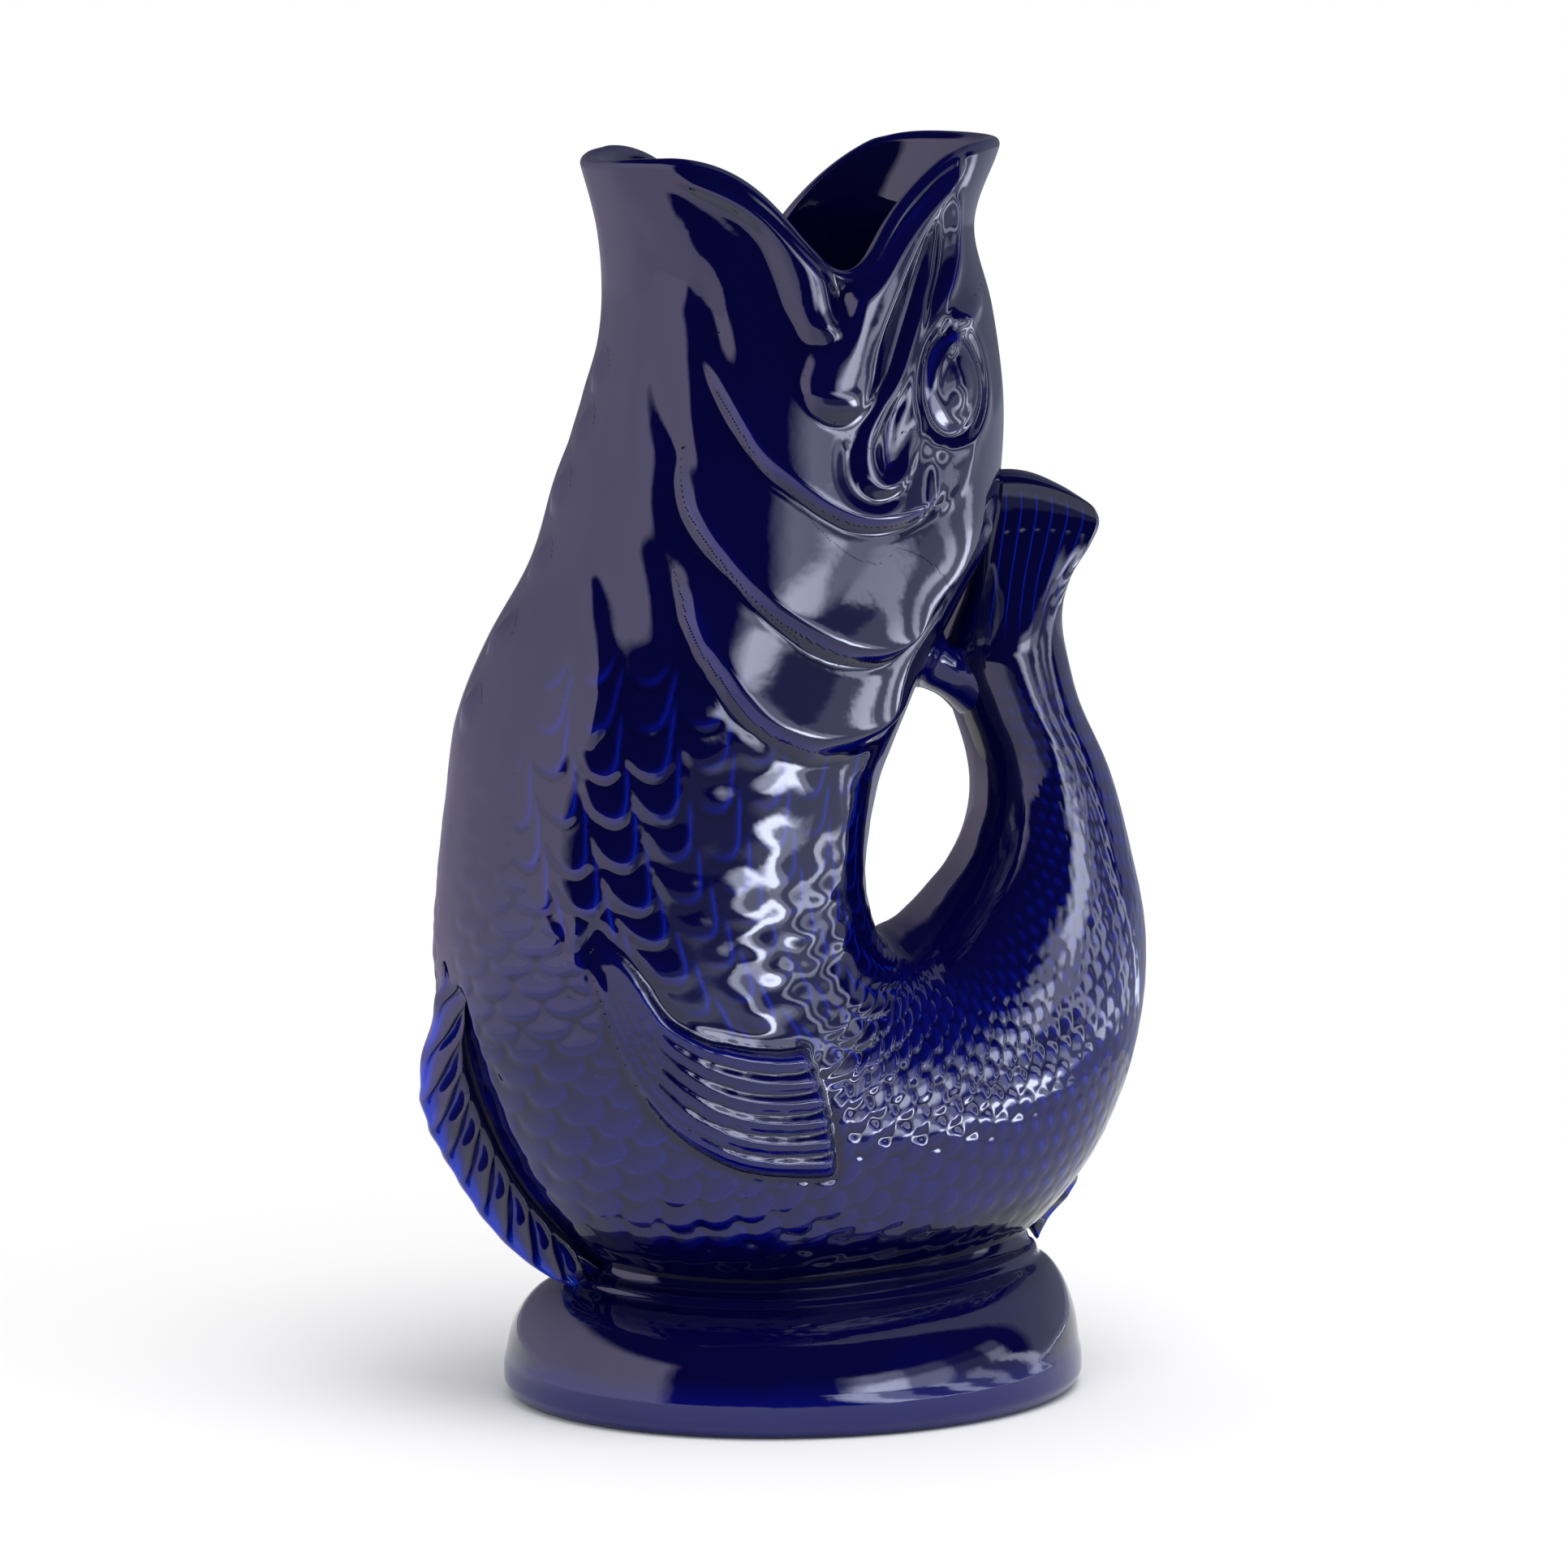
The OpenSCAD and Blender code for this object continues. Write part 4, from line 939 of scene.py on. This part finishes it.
def base_ring(k, z, inset=0.0):
    """The foot's oval at height z, scaled by k and set in by inset."""
    return np.stack([(FOOT_L / 2 * k - inset) * np.cos(foot_a), (FOOT_W / 2 * k - inset) * np.sin(foot_a),
                     np.full(FOOT_COLS, float(z))], -1)


def joint_ring(share, lift):
    """The oval on the fish where the foot meets it."""
    return on_skin(JOINT_T + JOINT_HALF_T * share * np.cos(foot_a),
                   180 - JOINT_HALF_A * share * np.sin(foot_a), lift)


def foot():
    """Rings up the skirt and the slope, then down inside the joint to the floor of the foot."""
    skirt = trace([[r, z * FOOT_EDGE_H] for z, r in FOOT_SHARES], SKIRT_STEPS)
    slope = trace(SLOPE_SHARES, SLOPE_STEPS)
    for _ in range(SLOPE_PASSES):
        slope[1:-1] = 0.5 * slope[1:-1] + 0.25 * (slope[:-2] + slope[2:])
    rings = [base_ring(r, max(z, 0.0)) for r, z in skirt]
    edge, joint = base_ring(FOOT_SHARES[-1][1], FOOT_EDGE_H), joint_ring(JOINT_SPREAD_SHARE, 0.0)
    for s_in, s_up in slope[1:]:
        ring = edge + (joint - edge) * s_in
        ring[:, 2] = edge[:, 2] + (joint[:, 2] - edge[:, 2]) * s_up
        rings.append(ring)
    rings += [joint_ring(1.0, -JOINT_SINK), joint_ring(JOINT_IN_SHARE, -JOINT_IN_SINK)]
    rings.append(base_ring(1, FOOT_FLOOR, WALL + FOOT_EDGE_H / 2))
    # The foot's lower band is set a lighter blue than its slope: painted reflection of the pale floor
    height = np.clip(np.concatenate(rings)[:, 2] / FOOT_EDGE_H, 0, 3)
    tube("foot", rings, np.interp(height, [0, 0.8, 1.3, 3], [0.58, 0.56, 0.36, 0.3]))


foot()

# Camera at the photograph's place
CAMERA_TURN, CAMERA_REACH, CAMERA_Z = math.radians(20), 1.72, 0.372
LENS, SENSOR = 203.5, 36
TARGET = Vector((-0.002, 0, 0.1204))
camera_data = bpy.data.cameras.new("camera")
camera_data.lens, camera_data.sensor_width = LENS, SENSOR
camera = put("camera", camera_data)
camera_x = TARGET.x - CAMERA_REACH * math.sin(CAMERA_TURN)
camera.location = (camera_x, -CAMERA_REACH * math.cos(CAMERA_TURN), CAMERA_Z)
camera.rotation_euler = (TARGET - camera.location).to_track_quat("-Z", "Y").to_euler()
bpy.context.scene.camera = camera


def toward(phi):
    """The direction on the floor at angle phi in degrees to the right of the camera, seen from the jug."""
    back = np.array([-math.sin(CAMERA_TURN), -math.cos(CAMERA_TURN)])
    right = np.array([math.cos(CAMERA_TURN), -math.sin(CAMERA_TURN)])
    turn = np.radians(phi)[..., None]
    return np.cos(turn) * back + np.sin(turn) * right


# The studio wall round the jug, seen only in its glaze: a lilac panel on the left, dark curtains in
# front, bright windows on the right, and the same light spread softly on the table before it. Each band
# is a list of angles from the camera and a list of levels
WALL_REACH, WALL_TOP, CEILING_RISE, EYE_LEVEL = 1.95, 2.4, 0.3, 0.12
APRON_REACH, APRON_Z = 0.26, 0.004
LEFT = [[-180, -170, -155, -140, -120, -100, -70, -44, -37],
        [0.1, 0.14, 0.27, 0.5, 0.95, 1.4, 1.85, 2.0, 0.0]]
LOW = [[17, 26, 32, 35, 43, 46, 56, 58, 63, 66, 72, 74, 78, 81, 88, 90, 94, 97],
       [0, 7.0, 6.5, 2.4, 2.2, 0.3, 0.3, 4.2, 4.2, 0.6, 0.6, 2.6, 2.6, 0.4, 0.4, 3.2, 3.2, 0]]
HIGH = [[24, 36, 48, 52, 66, 70, 84, 86, 92, 95], [0, 9, 8, 2.6, 2.6, 0.4, 0.4, 2.5, 2.5, 0]]
SILL = [[18, 24, 32, 35], [0, 9, 9, 0]]
RIGHT = [[104, 110, 130, 150, 170, 180], [0.0, 0.6, 0.5, 0.3, 0.14, 0.1]]
TABLE = [[-180, -140, -100, -44, -10, 60, 100, 130, 180], [0.2, 0.6, 1.5, 1.7, 1.3, 1.2, 0.9, 0.8, 0.2]]
SHEAR, SHEAR_FROM = 1.7, 8.0
DARK_LEVEL, WARM, COOL = 0.02, np.array([0.94, 0.85, 1.15]), np.array([0.9, 0.96, 1.2])


def studio_light(phi, el):
    """Radiance of the studio at angle phi from the camera and elevation el, in degrees."""
    leaned = phi - SHEAR * np.clip(SHEAR_FROM - el, 0, 30)
    low = np.interp(leaned, *LOW, 0, 0)
    low = low * (1 + 0.6 * smooth(-el, 5, 9)) * fall(-el, 14, 20)
    sill = np.interp(leaned, *SILL, 0, 0)
    low = low + sill * smooth(-el, 6, 9) * fall(-el, 14, 17)
    high = np.interp(phi, *HIGH, 0, 0)
    high = high * (1 - 0.7 * smooth(el, 17, 22)) * fall(el, 27, 34)
    window = low + (high - low) * smooth(el, 7, 12)
    left = np.interp(phi, *LEFT, 0, 0) * (phi < LEFT[0][-1]) * fall(el, 36, 46)
    right = np.interp(phi, *RIGHT, 0, 0) * (phi > RIGHT[0][0])
    above = window + left + right + DARK_LEVEL
    table = np.interp(phi, *TABLE) * (1 - 0.5 * smooth(-el, 12, 40))
    curtain = smooth(phi, -6, 6) * fall(phi, 48, 58) * fall(-el, 10, 16)
    table = table * (1 - 0.8 * curtain)
    level = above + (np.maximum(table, window) - above) * smooth(-el, 1.2, 3.2)
    share = smooth(phi, -30, 10)[..., None]
    return level[..., None] * (WARM + (COOL - WARM) * share)


def studio():
    """A mesh that glows with the studio's light and is seen only in reflections."""
    phi = np.arange(0, 360, 1.0) - 180
    apron = [(APRON_REACH + (WALL_REACH - APRON_REACH) * k ** 2, APRON_Z) for k in np.linspace(0, 1, 80)]
    wall = [(WALL_REACH, WALL_TOP * k) for k in np.linspace(0.005, 1, 220)]
    ceiling = [(WALL_REACH * (1 - k), WALL_TOP + CEILING_RISE * k) for k in np.linspace(0.1, 0.98, 8)]
    profile = np.array(apron + wall + ceiling)
    reach, z = profile[:, :1], np.repeat(profile[:, 1:], len(phi), 1)
    points = np.dstack([reach[..., None] * toward(phi)[None], z])
    light = studio_light(np.broadcast_to(phi, z.shape), np.degrees(np.arctan2(z - EYE_LEVEL, reach)))
    mesh = bpy.data.meshes.new("studio")
    mesh.from_pydata(points.reshape(-1, 3).tolist(), [], quads(len(profile), len(phi)).tolist())
    layer = mesh.attributes.new("light", "FLOAT_COLOR", "POINT")
    layer.data.foreach_set("color", np.dstack([light, np.ones(z.shape)]).astype(np.float32).ravel())
    mat, nodes, links = material("studio")
    nodes.remove(nodes["Principled BSDF"])
    emission = add(nodes, "Emission")
    attr = add(nodes, "Attribute")
    attr.attribute_name = "light"
    links.new(attr.outputs["Color"], emission.inputs["Color"])
    links.new(emission.outputs[0], nodes["Material Output"].inputs["Surface"])
    mat.cycles.emission_sampling = "NONE"
    mesh.materials.append(mat)
    obj = put("studio", mesh)
    obj.visible_camera = obj.visible_diffuse = obj.visible_shadow = obj.visible_transmission = False


studio()

# One broad lamp overhead, which only lights and shades
LAMP_SIZE, LAMP_POWER, LAMP_PHI, LAMP_Z, LAMP_REACH, LAMP_AIM = 0.9, 9.0, 40, 1.3, 0.5, Vector((0, 0, 0.1))
lamp_data = bpy.data.lights.new("overhead", "AREA")
lamp_data.shape, lamp_data.size, lamp_data.size_y = "RECTANGLE", LAMP_SIZE, LAMP_SIZE
lamp_data.energy = LAMP_POWER
lamp = put("overhead", lamp_data)
lamp.location = (*(LAMP_REACH * toward(LAMP_PHI)), LAMP_Z)
lamp.rotation_euler = (LAMP_AIM - lamp.location).to_track_quat("-Z", "Y").to_euler()
lamp.visible_camera = lamp.visible_glossy = False

# World: white where it is seen, a plain level of light on the jug
WORLD_LIGHT, WORLD_SEEN = 0.8, 1.0


def white_world():
    """A background with one level for the rays that see it and a lower one for light."""
    world = bpy.data.worlds.new("world")
    bpy.context.scene.world = world
    world.use_nodes = True
    nodes, links = world.node_tree.nodes, world.node_tree.links
    rays = add(nodes, "LightPath")
    seen = rays.outputs["Is Camera Ray"]
    for kind in ("Is Glossy Ray", "Is Transmission Ray"):
        either = add(nodes, "Math")
        either.operation = "MAXIMUM"
        links.new(seen, either.inputs[0])
        links.new(rays.outputs[kind], either.inputs[1])
        seen = either.outputs[0]
    level = add(nodes, "MapRange", ("To Min", WORLD_LIGHT), ("To Max", WORLD_SEEN))
    links.new(seen, level.inputs["Value"])
    links.new(level.outputs[0], nodes["Background"].inputs["Strength"])
    nodes["Background"].inputs["Color"].default_value = (1, 1, 1, 1)


white_world()

# Floor: white, with the jug's shadow near it
FLOOR_HALF, SHADOW_FROM, SHADOW_TO = 6.0, 0.08, 0.3


def white_floor():
    """Diffuse close to the jug, where its shadow lies, and pure white farther out."""
    mat, nodes, links = material("floor_white")
    nodes.remove(nodes["Principled BSDF"])
    diffuse = add(nodes, "BsdfDiffuse", ("Color", (0.93, 0.93, 0.94, 1)))
    white = add(nodes, "Emission", ("Strength", 1.0))
    coord = add(nodes, "TexCoord")
    away = add(nodes, "VectorMath")
    away.operation = "LENGTH"
    links.new(coord.outputs["Object"], away.inputs[0])
    spread = add(nodes, "MapRange", ("From Min", SHADOW_FROM), ("From Max", SHADOW_TO))
    links.new(away.outputs["Value"], spread.inputs["Value"])
    mix = add(nodes, "MixShader")
    links.new(spread.outputs[0], mix.inputs["Fac"])
    links.new(diffuse.outputs[0], mix.inputs[1])
    links.new(white.outputs[0], mix.inputs[2])
    links.new(mix.outputs[0], nodes["Material Output"].inputs["Surface"])
    corners = [(-FLOOR_HALF, -FLOOR_HALF, 0), (FLOOR_HALF, -FLOOR_HALF, 0),
               (FLOOR_HALF, FLOOR_HALF, 0), (-FLOOR_HALF, FLOOR_HALF, 0)]
    mesh = bpy.data.meshes.new("floor")
    mesh.from_pydata(corners, [], [(0, 1, 2, 3)])
    mesh.materials.append(mat)
    floor = put("floor", mesh)


white_floor()

bpy.context.scene.view_settings.view_transform = "Standard"
